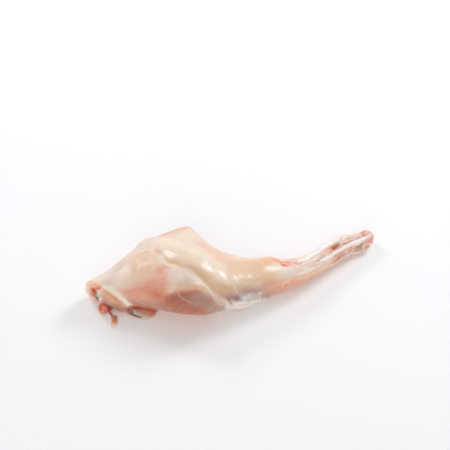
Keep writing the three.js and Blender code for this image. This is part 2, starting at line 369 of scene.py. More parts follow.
# flat underside
z3 = np.broadcast_to(-GZ[None, None, :], F.d.shape)
F.d = smax(F.d, z3.astype(np.float32), 2.4)

# oblique hip cut: a nearly vertical plane that fades out towards the thigh
xs = GX[:, None, None]
ys = GY[None, :, None]
zs = GZ[None, None, :]
fade = 0.55 * np.maximum(xs + 73.0, 0.0) + 0.012 * np.maximum(xs + 73.0, 0.0) ** 2
cut = (-0.39 * xs - 0.92 * ys + 0.02 * zs - 51.0 - fade).astype(np.float32)
part = slice(0, int((-40 - LO[0]) / H))
F.d[part] = smax(F.d[part], np.broadcast_to(cut, F.d.shape)[part], 1.6)
# the face of the cut is scooped out behind the lip
F.stroke([[-97.5, -17.4, 9.5], [-92, -19.8, 12.5], [-85, -22.4, 12.0], [-78, -24.8, 9.5]], [3.0, 4.4, 4.6, 3.4], k=1.6, cut=True)
# fascia lip
F.stroke([[-101.0, -11.6, 9.0], [-100.2, -12.0, 15.0], [-97.6, -12.9, 19.8], [-94, -14.6, 22.2], [-88, -17.3, 22.2], [-83, -19.4, 20.6], [-78, -21.6, 17.4],
          [-74.6, -23.0, 13.6], [-72.0, -23.9, 9.6], [-70.6, -24.0, 6.6]], [2.0, 2.1, 2.2, 2.2, 2.3, 2.5, 2.6, 2.6, 2.4, 2.0], k=1.8)
F.stroke([[-101.2, -11.4, 9.0], [-100.2, -12.4, 6.0], [-98.6, -13.6, 3.6], [-96.2, -14.8, 2.2]], [1.9, 1.7, 1.5, 1.4], k=1.4)
# muscle that bulges from the cut, in bundles
F.egg([-91.5, -15.9, 15.5], [6.4, 3.4, 6.6], turn=-23, k=2.4)
F.egg([-84.8, -18.2, 11.4], [11.0, 5.2, 8.2], turn=-23, tip=18, k=1.6)
F.egg([-79.8, -20.7, 8.0], [10.4, 4.8, 6.6], turn=-20, tip=16, k=1.4)
F.egg([-88.0, -17.2, 5.6], [8.0, 4.8, 5.4], turn=-23, k=1.2)
# bloody pocket in the left of the cut, with a fold in it
F.egg([-96.8, -16.4, 12.2], [3.6, 4.3, 5.4], turn=-23, k=1.8, cut=True)
F.egg([-94.2, -17.8, 6.0], [1.9, 3.0, 3.4], turn=-23, k=1.2, cut=True)
F.stroke([[-98.4, -13.8, 12.6], [-97.2, -13.9, 9.8], [-96.0, -14.2, 7.6]], [1.1, 1.3, 1.0], k=0.8)
# white membrane between the pocket and the muscle
F.stroke([[-93.4, -18.4, 14.4], [-92.8, -19.2, 11.4], [-91.8, -20.0, 8.0], [-91.2, -20.6, 5.0]], [0.5, 0.55, 0.65, 0.6], k=0.7)
# flap of muscle and fat under the thigh
F.egg([-74.5, -23.2, 3.6], [9.0, 4.2, 3.4], turn=-16, k=1.2)
F.egg([-66.5, -26.0, 3.4], [6.2, 3.8, 3.2], turn=-10, k=1.2)
F.egg([-59.5, -27.0, 3.9], [6.6, 4.2, 3.8], turn=-2, k=1.2)
F.egg([-57.5, -22.0, 4.6], [7.0, 6.0, 4.4], turn=0, k=1.0)
F.stroke([[-70.5, -26.6, 3.0], [-66.5, -28.3, 2.4], [-63.0, -29.6, 2.0], [-59.5, -30.2, 2.0]], [0.9, 1.2, 1.3, 1.0], k=0.7)
# trimmed lump at the foot of the cut
F.egg([-92.0, -22.8, 3.6], [2.2, 3.3, 3.4], turn=-8, lean=12, k=0.5)
F.egg([-89.6, -23.6, 4.4], [2.4, 2.9, 3.4], turn=-30, lean=-14, k=0.3)
F.egg([-90.4, -25.4, 2.6], [2.6, 1.9, 2.4], turn=24, k=0.3)
F.egg([-87.4, -24.0, 3.0], [2.0, 2.2, 2.6], turn=38, k=0.3)
F.egg([-86.6, -21.6, 3.6], [4.6, 3.2, 3.2], turn=30, k=1.0)
F.egg([-91.4, -21.0, 6.0], [2.0, 2.0, 1.8], turn=0, k=0.7)
# shred that hangs from it, with a thin side filament
F.stroke([[-88.0, -23.0, 2.6], [-86.3, -25.6, 2.1], [-84.6, -27.4, 1.7], [-83.4, -29.8, 1.6]], [1.6, 1.1, 0.95, 1.2], k=0.8)
F.egg([-82.9, -31.8, 1.9], [1.7, 2.4, 1.5], turn=10, k=0.6)
F.egg([-81.6, -33.8, 1.8], [1.6, 1.6, 1.4], k=0.6)
F.egg([-83.2, -35.2, 1.8], [1.6, 1.9, 1.4], turn=-10, k=0.6)
F.stroke([[-83.2, -29.6, 1.7], [-81.6, -28.6, 2.3], [-80.6, -30.0, 2.6], [-80.4, -32.2, 2.2]], [0.75, 0.65, 0.6, 0.6], k=0.5)

# heel tendon and the joint end
F.egg([98.4, 35.2, 6.8], [8.2, 4.6, 5.0], turn=26, k=3.0)
F.egg([102.6, 35.0, 6.4], [3.9, 4.0, 4.6], turn=20, k=2.0)
F.egg([92.0, 33.6, 6.6], [7.0, 4.4, 5.0], turn=30, k=2.0)
F.stroke([[36, 7.0, 14.6], [47, 9.3, 15.0], [56, 13.2, 13.6], [63, 18.2, 12.0], [69, 24.0, 10.4], [74.5, 29.2, 9.6], [80, 32.4, 9.4], [86, 34.8, 8.8]],
         [1.6, 2.4, 2.5, 2.4, 2.3, 2.4, 2.4, 2.2], k=1.6)
# hollow between the tendon and the bone
F.egg([76.9, 23.3, 14.5], [4.8, 2.1, 4.2], turn=42, k=1.8, cut=True)
F.stroke([[58, 9.8, 17.8], [66, 15.6, 16.4], [73, 21.4, 14.6]], [0.4, 0.8, 1.2], k=1.4, cut=True)
# pits beside the end of the bone, and the slit with its strand of sinew
F.egg([95.4, 27.4, 9.4], [3.2, 2.1, 4.4], turn=30, k=1.0, cut=True)
F.egg([94.7, 27.3, 4.0], [2.6, 9.0, 1.6], tip=-22, lean=-55, k=0.8, cut=True)
F.stroke([[84.0, 20.4, 4.6], [88.5, 22.1, 4.0], [91.0, 23.5, 3.8], [94.6, 24.7, 3.8], [98.3, 26.5, 4.2], [102.0, 29.6, 4.8]],
         [2.2, 1.4, 0.95, 0.75, 0.95, 1.6], k=0.9)
# the shin bone lies bare in a shallow open bed along the top of the hock
BONE = np.array([[24, -6.5, 10.8], [40, -1.5, 11.4], [54, 3.6, 12.6], [63.5, 8.6, 13.6], [69.5, 12.3, 13.1], [75, 16.7, 12.5], [80.3, 20.5, 11.9],
                 [86, 24.6, 11.5], [92, 28.0, 11.2], [98, 31.6, 10.9], [102.4, 34.4, 10.3], [105.2, 35.8, 7.6]])
F.stroke([[62.5, 7.9, 17.0], [69.5, 12.3, 15.8], [75, 16.7, 15.0], [80.3, 20.5, 14.4], [86, 24.6, 14.0], [92, 28.0, 13.7], [98, 31.6, 13.0], [102.6, 34.6, 12.2]],
         [0.8, 1.3, 1.5, 1.5, 1.5, 1.4, 1.2, 0.8], k=1.6, cut=True)

V, Q = surface_nets(F.d)
V, Q = largest(V, Q)
V = relax(V, Q, 2)
V[:, 2] = np.maximum(V[:, 2], 0.0)

# ------------------------------------------------------------ surface features


def seg_distance(p, pts):
    """Distance to a route, how far along it (0..1) and on which side of it."""
    best = np.full(len(p), 1e9)
    along = np.zeros(len(p))
    side = np.zeros(len(p))
    lens = np.linalg.norm(np.diff(pts, axis=0), axis=1)
    cum = np.concatenate([[0], np.cumsum(lens)])
    for i in range(len(pts) - 1):
        a, b = pts[i], pts[i + 1]
        ab = b - a
        t = np.clip((p - a) @ ab / (ab @ ab + 1e-9), 0, 1)
        w = p - a - t[:, None] * ab
        d = np.sqrt((w * w).sum(1))
        m = d < best
        best[m] = d[m]
        along[m] = (cum[i] + t[m] * lens[i]) / max(cum[-1], 1e-9)
        side[m] = np.sign(ab[0] * w[m, 1] - ab[1] * w[m, 0])
    return best, along, side


def waves(p, scales, seed, stretch=(1, 1, 1)):
    """Smooth irregular waves of the given lengths, about -1 to 1."""
    r = np.random.RandomState(seed)
    out = np.zeros(len(p))
    for s in scales:
        for _ in range(5):
            k = r.normal(size=3)
            k = k / np.linalg.norm(k) * np.array(stretch)
            out += np.sin(p @ (k * 2 * np.pi / s) + r.uniform(0, 6.28)) * s ** 0.7
    return out / (5 * sum(s**0.7 for s in scales)) * 2


NRM = mesh_normals(V, Q)


def near(pts, reach):
    lo, hi = pts.min(0) - reach, pts.max(0) + reach
    return np.nonzero(((V > lo) & (V < hi)).all(1))[0]


def route(pix):
    pts = hit(F, pix)
    return refine(pts, np.zeros(len(pts)), 3.0)[0] if len(pts) > 2 else pts


def L(pix, width, taper=0.0, soft=1.0):
    """1 along a route over the skin, falling off over width mm."""
    pts = route(pix)
    out = np.zeros(len(V))
    i = near(pts, width * 2.6 + 1)
    d, along, _ = seg_distance(V[i], pts)
    w = width * (1 - taper * np.abs(2 * along - 1) ** 2)
    out[i] = np.exp(-(d / np.maximum(w, 0.05)) ** (2 * soft))
    return out


def across(pix, shape, reach, fade=0.12):
    """Profile across a route: shape(s), with s in mm, positive on its left."""
    pts = route(pix)
    out = np.zeros(len(V))
    i = near(pts, reach)
    d, along, side = seg_distance(V[i], pts)
    out[i] = shape(d * side) * smooth(along / fade) * smooth((1 - along) / fade) * smooth((reach - d) / (0.4 * reach))
    return out


def spots(places, soft=1.0):
    """Round spots (x, y, radius in mm) on the skin."""
    out = np.zeros(len(V))
    for a, b, r in places:
        c = hit(F, [(a, b)])[0]
        i = near(c[None], r * 2.4)
        d2 = ((V[i] - c) ** 2).sum(1)
        out[i] = np.maximum(out[i], np.exp(-(d2 / r**2) ** soft))
    return out


lift = np.zeros(len(V))
# seam between the ham muscle and the muscles in front of it: a groove, the rounded flank of the ham on its upper side
seam = [(157.5, 251), (162, 253.5), (168, 257.5), (176, 262.5), (185.5, 266), (192, 269.5), (198, 275), (205, 283.5), (211, 290.5), (216, 296.5), (222, 300)]
lift += across(seam, lambda s: -1.15 * np.exp(-((s - 0.2) / 2.9) ** 2), 9)
lift += 1.2 * L([(158, 243.5), (168, 247), (178, 251.5), (190, 256), (203, 262), (213, 268), (222, 274.5), (231, 282)], 6.6)
lift -= 0.7 * L([(221.5, 268), (225.5, 275), (229, 283)], 1.2, taper=0.4)
lift -= 0.35 * L([(212.5, 265), (215, 270), (216.5, 275)], 1.6, taper=0.4)
# gluteal bulge
lift += 0.7 * L([(142.5, 258), (143, 266), (141.5, 275)], 6.5, taper=0.2)
lift -= 0.7 * L([(186, 270), (195, 277), (203, 286), (209, 293)], 2.6, taper=0.4)
# fascia edges over the lower front muscle
lift += 0.06 * L([(176, 281), (176, 288), (178, 293), (182, 298), (189, 302), (197, 304.5), (205, 305.5)], 1.0, taper=0.3)
lift += 0.35 * L([(197, 277), (202, 282), (207, 287.5), (211.5, 293), (215, 299), (219, 304), (226, 306.5)], 2.4, taper=0.5)
lift += across([(163, 298), (169, 294), (177, 291), (186, 289), (197, 289), (206, 291.5), (213, 297)], lambda s: 0.35 * np.exp(-((s - 1.5) / 1.8) ** 2) - 0.5 * np.exp(-((s + 1.4) / 2.0) ** 2), 7)
lift += 0.8 * L([(196, 298), (206, 302)], 5.0)
# back flap edge
lift -= 0.25 * L([(190, 240), (198, 244), (208, 250.5), (222, 256), (236, 258.5)], 1.6, taper=0.4)
lift += 0.45 * L([(192, 235), (203, 242), (214, 249), (226, 254)], 1.8, taper=0.3)
lift -= 0.35 * L([(168, 238), (180, 241), (190, 249)], 2.6, taper=0.4)
# rump: edge of the fat pad, hollows by the cut, soft swells
lift -= 0.6 * L([(133, 254), (140, 250.5), (148, 248.5), (156, 246)], 1.3, taper=0.4)
lift += 0.4 * L([(137, 249), (146, 246.5), (154, 246), (162, 248.5)], 1.2, taper=0.4)
lift += 0.5 * L([(118, 268), (128, 262), (140, 256)], 2.8, taper=0.4)
lift -= 0.4 * spots([(111, 277, 3.6), (115, 273, 2.6)])
lift += 0.5 * spots([(121.5, 277.5, 2.6), (127, 274, 2.0)])
lift += 0.3 * spots([(128, 281, 6)])
lift -= 0.4 * L([(122, 285), (134, 279), (146, 276), (158, 273)], 2.4, taper=0.4)
lift += 0.5 * L([(132, 297), (145, 301), (160, 306), (176, 310)], 2.4, taper=0.4)
lift -= 0.35 * L([(130, 291), (142, 295), (154, 300), (166, 304)], 1.5, taper=0.4)
lift += 0.3 * L([(134, 285), (148, 283), (160, 281)], 3.0, taper=0.4)


def soften(values, rounds):
    """Evens out values over neighbouring points of the skin."""
    e = np.concatenate([Q[:, [0, 1]], Q[:, [1, 2]], Q[:, [2, 3]], Q[:, [3, 0]]])
    deg = np.bincount(e.ravel(), minlength=len(V))
    for _ in range(rounds):
        acc = np.bincount(e[:, 0], values[e[:, 1]], len(V)) + np.bincount(e[:, 1], values[e[:, 0]], len(V))
        values = 0.4 * values + 0.6 * acc / deg
    return values


lift = soften(lift, 14)
# knee: a short deep fold, small lobes of fatty tissue between dark dimples
lift -= 1.0 * L([(228.2, 298.2), (230.4, 301.6), (233.2, 306)], 1.6, taper=0.4)
lift -= 0.7 * L([(226, 297.5), (233, 298.5), (241, 299.5)], 2.2)
lift += 0.9 * spots([(245.5, 297.5, 2.4), (259.5, 293.3, 1.5), (259.5, 297.4, 1.3), (255.5, 300.6, 2.2), (263.2, 300.2, 1.1)])
lift += 0.8 * L([(233.5, 303.6), (240, 302.6), (247, 301.8)], 1.3, taper=0.4)
lift -= 0.8 * spots([(237, 298.4, 3.2), (252, 294, 2.0), (256, 296, 1.4), (263, 296, 1.5), (250, 300, 1.0), (267, 296, 2.2)])
lift -= 0.5 * L([(226, 290), (238, 291), (250, 288.5), (262, 287), (272, 285)], 2.0, taper=0.4)
# calf and shank
lift += 0.55 * L([(234, 281), (246, 280.5), (256, 279)], 4.4)
lift += 1.5 * spots([(262, 270, 9.5)])
lift += 0.9 * spots([(299, 268, 8)])
lift += 0.28 * L([(232.5, 275.5), (235, 279.5), (238, 284)], 0.8, taper=0.5)
lift += 0.3 * spots([(248.6, 277.8, 1.8)])
for a in ((251, 274.5), (255, 272.5), (258.6, 272.6)):
    lift -= 0.16 * L([a, (a[0] + 2.8, a[1] + 3.4), (a[0] + 5, a[1] + 7)], 0.65, taper=0.5)
lift -= 0.7 * L([(270, 284), (284, 279), (298, 275), (312, 270), (326, 264)], 1.5, taper=0.3)
lift += 0.45 * L([(282, 286), (298, 281), (312, 275), (326, 268)], 2.4, taper=0.3)
lift += 0.45 * L([(298, 276), (308, 272), (318, 268), (328, 262)], 0.8, taper=0.3)
lift += 0.45 * L([(300, 266), (310, 262), (320, 258), (329, 252)], 0.8, taper=0.3)
lift -= 0.4 * L([(303, 262), (312, 258.5), (321, 254)], 0.9, taper=0.3)
# hock: cords of sinew that run with the bone
lift += 0.5 * L([(340, 239.5), (348, 237.5), (357, 234), (366, 231.5)], 1.2, taper=0.3)
lift -= 0.5 * L([(341, 242.5), (349, 239.8), (357, 236.6)], 0.8, taper=0.3)
lift += 0.5 * L([(330, 262.5), (338, 257), (345, 252), (351, 248.5)], 0.8, taper=0.3)
lift -= 0.5 * L([(332, 264.5), (340, 259), (347, 254), (352, 251)], 0.7, taper=0.3)
lift += 0.5 * L([(334, 266), (342, 260.5), (349, 256), (354, 253)], 0.8, taper=0.3)
lift -= 0.7 * spots([(337, 260, 1.3), (345.5, 256, 1.1), (343, 249, 1.0)])
lift += 0.9 * spots([(365.5, 231.8, 2.0), (372.6, 236.0, 2.0), (371, 242.4, 2.1), (368.4, 236.4, 1.3)])
lift -= 0.8 * L([(367, 228.5), (370, 232.4), (370.4, 235)], 0.8, taper=0.3)
lift -= 0.8 * L([(376, 240.4), (372, 239.6), (368, 240.2)], 0.8, taper=0.3)
lift -= 0.6 * L([(352, 233.4), (358, 233.2), (363, 235)], 1.2, taper=0.4)
lift += 0.6 * L([(343.5, 256.5), (347, 252), (349, 247.6)], 0.7, taper=0.3)
lift += 0.6 * L([(348, 256), (351, 251.5), (352, 247)], 0.6, taper=0.3)
lift -= 0.6 * L([(345.6, 257), (349, 252), (350.4, 248)], 0.6, taper=0.3)
lift += 0.5 * spots([(334, 241, 2.2), (339, 243.4, 1.2), (342.5, 240.6, 1.2)])



def snap(points):
    """Points of the skin next to the given ones, as a smooth route."""
    pts = np.array([V[np.argmin(((V - np.array(q)) ** 2).sum(1))] for q in points])
    return refine(pts, np.zeros(len(pts)), 3.0)[0]


def L3(points, width, taper=0.4):
    """As L, for places that the viewer doesn't see; points in mm."""
    pts = snap(points)
    out = np.zeros(len(V))
    i = near(pts, width * 2.6 + 1)
    d, along, _ = seg_distance(V[i], pts)
    out[i] = np.exp(-(d / np.maximum(width * (1 - taper * np.abs(2 * along - 1) ** 2), 0.05)) ** 2)
    return out


# far flank of the thigh: seams between the muscles, swells, a fold at the corner
FAR1 = [(-98, -3, 14), (-84, 7, 16), (-68, 22, 17), (-52, 34, 15), (-38, 41, 13), (-30, 41, 10)]
FAR2 = [(-96, 0, 6), (-80, 12, 7), (-62, 25, 7), (-46, 36, 7), (-34, 40, 6)]
FAR3 = [(-26, 36, 16), (-16, 26, 17), (-4, 17, 16), (10, 11, 14), (26, 11, 12)]
lift -= 0.7 * L3(FAR1, 1.5)
lift += 0.5 * L3([(-92, 2, 11), (-76, 15, 12), (-58, 29, 11), (-42, 39, 10)], 3.4)
lift -= 0.5 * L3(FAR2, 1.2)
lift -= 0.6 * L3(FAR3, 1.4)
lift -= 0.4 * L3([(-24, 34, 9), (-12, 22, 9), (4, 13, 8), (20, 11, 8), (36, 10, 8)], 1.3)
lift += 0.6 * L3([(-29, 40, 14), (-24, 34, 13), (-16, 25, 12)], 2.6)
# far side of the shank
lift -= 0.5 * L3([(40, 9, 8), (56, 16, 7), (70, 26, 6), (84, 36, 5)], 1.2)
lift += 0.4 * L3([(44, 9, 11), (58, 16, 9), (70, 27, 8), (82, 35, 7)], 1.4)
# near flank below the edge that shows
lift -= 0.5 * L3([(-58, -26, 8), (-40, -32, 8), (-22, -33, 8), (-8, -29, 7)], 1.3)
lift -= 0.4 * L3([(10, -25, 6), (28, -19, 6), (44, -11, 6), (60, -1, 5), (76, 12, 5)], 1.2)

# lumpy sinew round the joint end
lift += 0.24 * waves(V, (5.4, 3.6), 61) * smooth((V[:, 0] - 96) / 5)
lift += 0.22 * waves(V, (5.0, 3.4), 62) * smooth((V[:, 0] - 82) / 6) * smooth((100 - V[:, 0]) / 5)
lift += 0.16 * waves(V, (26, 15, 9), 3)
lift += 0.05 * waves(V, (5.5, 3.6), 5)
lift *= smooth((V[:, 2] - 0.3) / 2.0)
V2 = V + NRM * lift[:, None]
V2[:, 2] = np.maximum(V2[:, 2], 0.0)
V2 = relax(V2, Q, 1)
V2[:, 2] = np.maximum(V2[:, 2], 0.0)

# --------------------------------------------------------------- tissue masks
# outlines of the tissues are drawn as they are seen from the viewer's place
x, y, z = V.T
to_eye = CAM - V
to_eye /= np.linalg.norm(to_eye, axis=1, keepdims=True)
FACE = smooth(((NRM * to_eye).sum(1) + 0.02) / 0.30)
rel = V - CAM
dep = rel @ FWD
PX = 225 + KPX * rel[:, 0] / dep
PY = 225 - KPX * (rel @ UP) / dep
WOBX = waves(V, (13, 7, 3.5), 21)
WOBY = waves(V, (13, 7, 3.5), 22)


def patch(poly, soft=2.0, wob=1.0):
    """Area with the outline poly, soft pixels wide at the edge."""
    px, py = PX + wob * WOBX, PY + wob * WOBY
    poly = np.array(poly, float)
    d = np.full(len(px), 1e9)
    inside = np.zeros(len(px), bool)
    for i in range(len(poly)):
        a, b = poly[i - 1], poly[i]
        e = b - a
        t = np.clip(((px - a[0]) * e[0] + (py - a[1]) * e[1]) / (e @ e), 0, 1)
        d = np.minimum(d, np.hypot(px - a[0] - t * e[0], py - a[1] - t * e[1]))
        if a[1] != b[1]:
            inside ^= ((a[1] > py) != (b[1] > py)) & (px < (b[0] - a[0]) * (py - a[1]) / (b[1] - a[1]) + a[0])
    return smooth(np.where(inside, d, -d) / (2 * soft) + 0.5) * FACE


def mark(pix, width, wob=0.5, taper=0.5):
    """Soft line of the given half width in pixels."""
    pts = np.array(pix, float)
    if len(pts) > 2:
        pts = refine(pts, np.zeros(len(pts)), 2.0)[0]
    p = np.stack([PX + wob * WOBX, PY + wob * WOBY], 1)
    d, along, _ = seg_distance(p, pts)
    w = width * (1 - taper * np.abs(2 * along - 1) ** 3)
    return np.exp(-(d / np.maximum(w, 0.05)) ** 2) * FACE


def oval(cx, cy, rx, ry, turn=0.0, hard=1.2, wob=1.0):
    """Soft oval; turn in degrees, counter-clockwise in the picture."""
    t = math.radians(turn)
    dx, dy = PX + wob * WOBX - cx, -(PY + wob * WOBY - cy)
    u, v = (dx * math.cos(t) + dy * math.sin(t)) / rx, (-dx * math.sin(t) + dy * math.cos(t)) / ry
    return np.exp(-(u * u + v * v) ** hard) * FACE


def both(*parts):
    out = np.zeros(len(V))
    for p in parts:
        out = np.maximum(out, p)
    return np.clip(out, 0, 1)


HID = 1 - FACE
down = smooth((-NRM[:, 2] - 0.1) / 0.6)
slow1, slow2, slow3 = [0.5 + 0.5 * waves(V, (34, 19), s) for s in (31, 32, 33)]
M = {}
M["beige"] = both(0.9 * patch([(226, 262), (243, 258), (262, 257), (272, 262), (279, 272), (272, 280), (256, 284), (240, 282), (228, 275)], 4),
                  0.6 * patch([(126, 262), (140, 253), (156, 256), (160, 266), (148, 274), (132, 272)], 4), 0.7 * oval(129, 281, 8, 4, 20),
                  0.55 * oval(200, 268, 24, 8, -25), 0.8 * oval(267, 276, 9, 6, 15), HID * (0.4 + 0.5 * slow1))
M["tan"] = both(0.95 * patch([(164, 255), (178, 259.5), (192, 264), (206, 272), (219, 282), (236, 287), (238, 297), (224, 299), (212, 293), (204, 284), (196, 275), (184, 268), (170, 264)], 3.6),
                1.0 * patch([(175, 284), (190, 282.5), (202, 284), (211, 291), (198, 289.2), (184, 290), (176, 291.5)], 1.8), 0.7 * oval(242, 288, 18, 5, 3),
                0.55 * oval(268, 282, 9, 4, 15), 0.6 * oval(139.5, 254, 5, 1.8, 20), 0.5 * mark([(96, 286), (101, 289), (105, 292)], 1.5))
M["peach"] = both(0.85 * patch([(214, 254), (226, 258), (240, 259), (262, 256.5), (276, 259), (268, 266), (250, 264), (232, 264), (216, 260)], 2.5),
                  0.8 * patch([(199, 239), (212, 247), (224, 252.5), (236, 256), (234, 260), (220, 257.5), (206, 250)], 1.5),
                  0.85 * mark([(158, 236), (166, 233.5), (176, 230.5), (186, 228), (191, 229.5)], 2.2), 0.8 * mark([(140, 254.5), (148, 252)], 1.5),
                  0.8 * patch([(85, 281), (98, 280), (107, 287), (106, 292), (98, 287), (92, 288), (93, 295), (97, 303), (90, 298)], 1.2), 0.5 * oval(160, 284, 12, 5, 10), HID * 0.35 * slow2)
M["salmon"] = both(0.75 * patch([(120, 289), (132, 287), (144, 283), (154, 280), (162, 281), (167, 288), (170, 295), (182, 291), (196, 290), (212, 296), (224, 306),
                                  (216, 314), (190, 318), (165, 316), (140, 311), (127, 302)], 5.0), 0.4 * patch([(136, 282), (148, 276), (158, 268), (170, 271), (172, 281), (160, 286), (146, 288)], 8.0),
                   0.7 * patch([(262, 284), (276, 281), (290, 277), (306, 275), (322, 268), (334, 262), (338, 264), (322, 276), (304, 285), (284, 293), (268, 296)], 3.4),
                   0.6 * patch([(300, 262), (314, 257), (328, 249), (336, 252), (322, 262), (306, 268)], 2.4), 0.3 * oval(152, 256, 5, 3, -30), 0.22 * oval(142, 268, 16, 9, 20),
                   0.3 * patch([(156, 261), (166, 264), (168, 272), (152, 276)], 5), 0.25 * mark([(164, 236.5), (174, 234), (184, 232)], 1.4), 0.4 * oval(163, 233.5, 5, 1.6, 15),
                   0.6 * patch([(338, 240), (352, 236), (366, 229), (377, 234), (375, 246), (366, 250), (350, 258), (336, 264), (330, 262)], 2),
                   HID * (0.25 + 0.6 * slow3) * (0.6 + 0.4 * down))
M["brick"] = both(0.5 * oval(157, 294.5, 7, 4, -25), 0.35 * oval(140, 301, 14, 3.4, -18),
                  0.85 * patch([(163, 299), (170, 294.5), (180, 291), (190, 290.3), (198, 292), (191, 298), (188, 304), (202, 309), (214, 313), (192, 317), (168, 315), (150, 309), (158, 304)], 3.0),
                  0.8 * oval(190, 311, 13, 4, 0), 0.7 * oval(150, 306, 18, 3.4, -14), 0.65 * oval(112, 304, 10, 4, -28), 0.35 * oval(280, 290, 12, 4, 15), HID * down * 0.3 * slow1)
# brown tissue over the lower front of the thigh, the foot of the cut and the lower edge; its three ovals at the knee
# are painted shade
M["brown"] = both(0.75 * patch([(166, 298), (176, 293), (190, 291), (200, 292), (210, 297), (214, 306), (206, 312), (190, 312), (174, 308)], 4), 0.3 * oval(256, 291, 13, 4, 4), 0.3 * oval(232, 297, 9, 3, 0),
                  0.6 * patch([(104, 298), (114, 303), (124, 308), (120, 311), (110, 308), (103, 303)], 1.6), 0.4 * mark([(150, 309), (170, 313), (190, 315), (210, 313), (224, 309)], 3.0), 0.5 * oval(268, 295, 5, 4, 0))
M["lilac"] = both(0.9 * oval(203, 300, 12, 7, -15), 0.55 * oval(216, 309, 12, 4, 12), 0.5 * patch([(166, 271), (180, 267.5), (192, 269), (198, 275), (200, 281), (190, 283), (178, 284.5), (169, 282)], 3.2),
                  0.3 * patch([(101, 281), (108, 273), (117, 268), (120, 273), (113, 281), (108, 284)], 3.0), 0.35 * patch([(282, 259), (300, 258), (314, 254), (316, 258), (302, 263), (286, 262)], 1.8),
                  0.5 * oval(246, 299, 12, 5, 5), 0.5 * oval(120, 266, 8, 3, 30), 0.5 * oval(337.5, 244.5, 2.4, 3, 60), 0.5 * oval(345, 254, 6, 3, 35))
# mauve tissue on the shank, the hock and along the back edge; at the knee its ovals are painted shade in the hollow, in
# the band above the fat and beside the lumps, and its faint oval by the hip cut is painted shade in a shallow dent
M["mauve"] = both(0.15 * oval(112, 278, 3.5, 5, 10), 0.9 * oval(234, 298, 9, 4.2, -5), 0.7 * oval(248, 292, 10, 4, 0), 0.6 * oval(267, 296, 4, 3.4, 0), 0.1 * mark([(194, 242), (202, 246.5), (210, 251)], 2.2),
                  0.5 * mark([(304, 266), (314, 261), (324, 256)], 1.8), 0.25 * mark([(338, 242), (347, 240), (356, 236.5), (366, 233)], 1.6), 0.6 * mark([(334, 259), (342, 255), (350, 250)], 1.8),
                  0.2 * oval(292, 260.5, 9, 1.8, 4), 0.5 * oval(244, 296, 5, 2.5, 0))
# milky fat and fascia; the band along the edge of the fat pad at the top is partly a painted sheen
M["milk"] = both(0.7 * patch([(133, 253), (141, 241), (152, 237.5), (160, 237), (156, 242), (146, 247), (138, 250)], 1.6), 0.75 * mark([(138, 249.5), (147, 246.5), (156, 247.5), (163, 250)], 1.6),
                 0.6 * patch([(163, 272), (176, 267), (190, 268), (198, 275), (190, 279), (174, 280)], 2.0), 0.75 * patch([(280, 270), (292, 266), (306, 266), (318, 264), (306, 272), (290, 278), (280, 277)], 1.8),
                 0.6 * patch([(92, 281), (104, 273), (116, 266), (124, 262), (120, 268), (108, 276), (98, 282)], 1.5), 0.7 * patch([(226, 301), (236, 300), (246, 303), (256, 304), (240, 308), (226, 309)], 1.4),
                 0.5 * mark([(168, 240), (180, 243), (188, 248)], 1.5), 0.6 * mark([(124, 303), (116, 299), (108, 290)], 1.5), 0.5 * mark([(130, 262), (126, 268), (124, 276)], 1.6), HID * 0.45 * (1 - slow2))
M["white"] = both(0.95 * mark([(104, 286.5), (109, 289), (114, 292), (121, 297.5), (127, 303), (131, 305)], 2.0, 0.2, 0.2), 0.9 * mark([(98, 292), (99.5, 296), (101, 300), (102, 303)], 1.0, 0.2),
                  0.4 * mark([(132.5, 310.5), (137, 314), (145, 316.8), (151, 317)], 1.3, 0.3, 0.4), 0.15 * mark([(176, 281), (176, 288), (178, 293), (182, 298), (189, 302), (197, 304.5)], 1.2, 0.4),
                  0.3 * mark([(196, 276), (202, 282), (207, 287.5), (211.5, 293), (215, 299), (219, 304), (226, 306.5)], 1.6, 0.6),
                  1.0 * mark([(299, 261), (308, 257.5), (317, 252.5), (325, 246.5), (331, 241.5), (338, 239.5)], 2.6, 0.4, 0.4), 0.8 * mark([(301, 265), (310, 261), (320, 257.5)], 0.8),
                  0.8 * mark([(308, 264.5), (318, 261), (328, 256.5)], 0.9), 0.9 * mark([(297, 274), (306, 270.5), (317, 266.5), (328, 261)], 1.0),
                  0.3 * spots([(245.5, 297.5, 2.0), (259.5, 293.3, 1.3), (259.5, 297.4, 1.1), (255.5, 300.6, 2.0), (263.2, 300.2, 1.0)]), 0.7 * mark([(233.5, 303.6), (240, 302.6), (247, 301.8)], 1.1),
                  0.8 * mark([(326, 263.5), (336, 257), (345, 251.5), (350, 248)], 0.8), 0.7 * mark([(334, 265.5), (342, 260.5), (349, 256)], 0.7), 0.9 * mark([(347, 256.5), (350, 252), (353, 249)], 0.8),
                  0.9 * mark([(363, 242.5), (363.6, 249)], 1.0), 0.9 * mark([(351, 254), (357, 252.5), (363, 250)], 0.9), 0.7 * mark([(341, 240), (350, 237), (358, 234)], 0.8), 0.8 * oval(368.5, 236.5, 2.2, 1.6, 30),
                  0.5 * mark([(162, 262), (168, 265.5), (175, 265.5)], 0.9, 1.5), 0.5 * mark([(233, 287), (236, 290)], 0.5))
M["orange"] = both(0.85 * patch([(99, 290), (107, 292), (117, 298.5), (124, 304), (127, 307), (118, 306), (108, 300), (100, 295)], 1.4), 1.0 * oval(103, 308, 6, 6, 0), 0.9 * oval(148, 313.5, 9, 4, 5),
                   1.0 * oval(114, 320, 6, 8, 0), 0.55 * oval(369, 244, 4, 3, 30), 0.3 * mark([(158, 236.5), (166, 233.5), (176, 230.5), (190, 227.5)], 1.2), 0.55 * oval(305, 279, 22, 5, 22), 0.5 * oval(92, 284, 5, 2, 10),
                   0.3 * oval(158, 252, 3, 2, -20), 0.3 * oval(164, 267, 4, 2, -20))
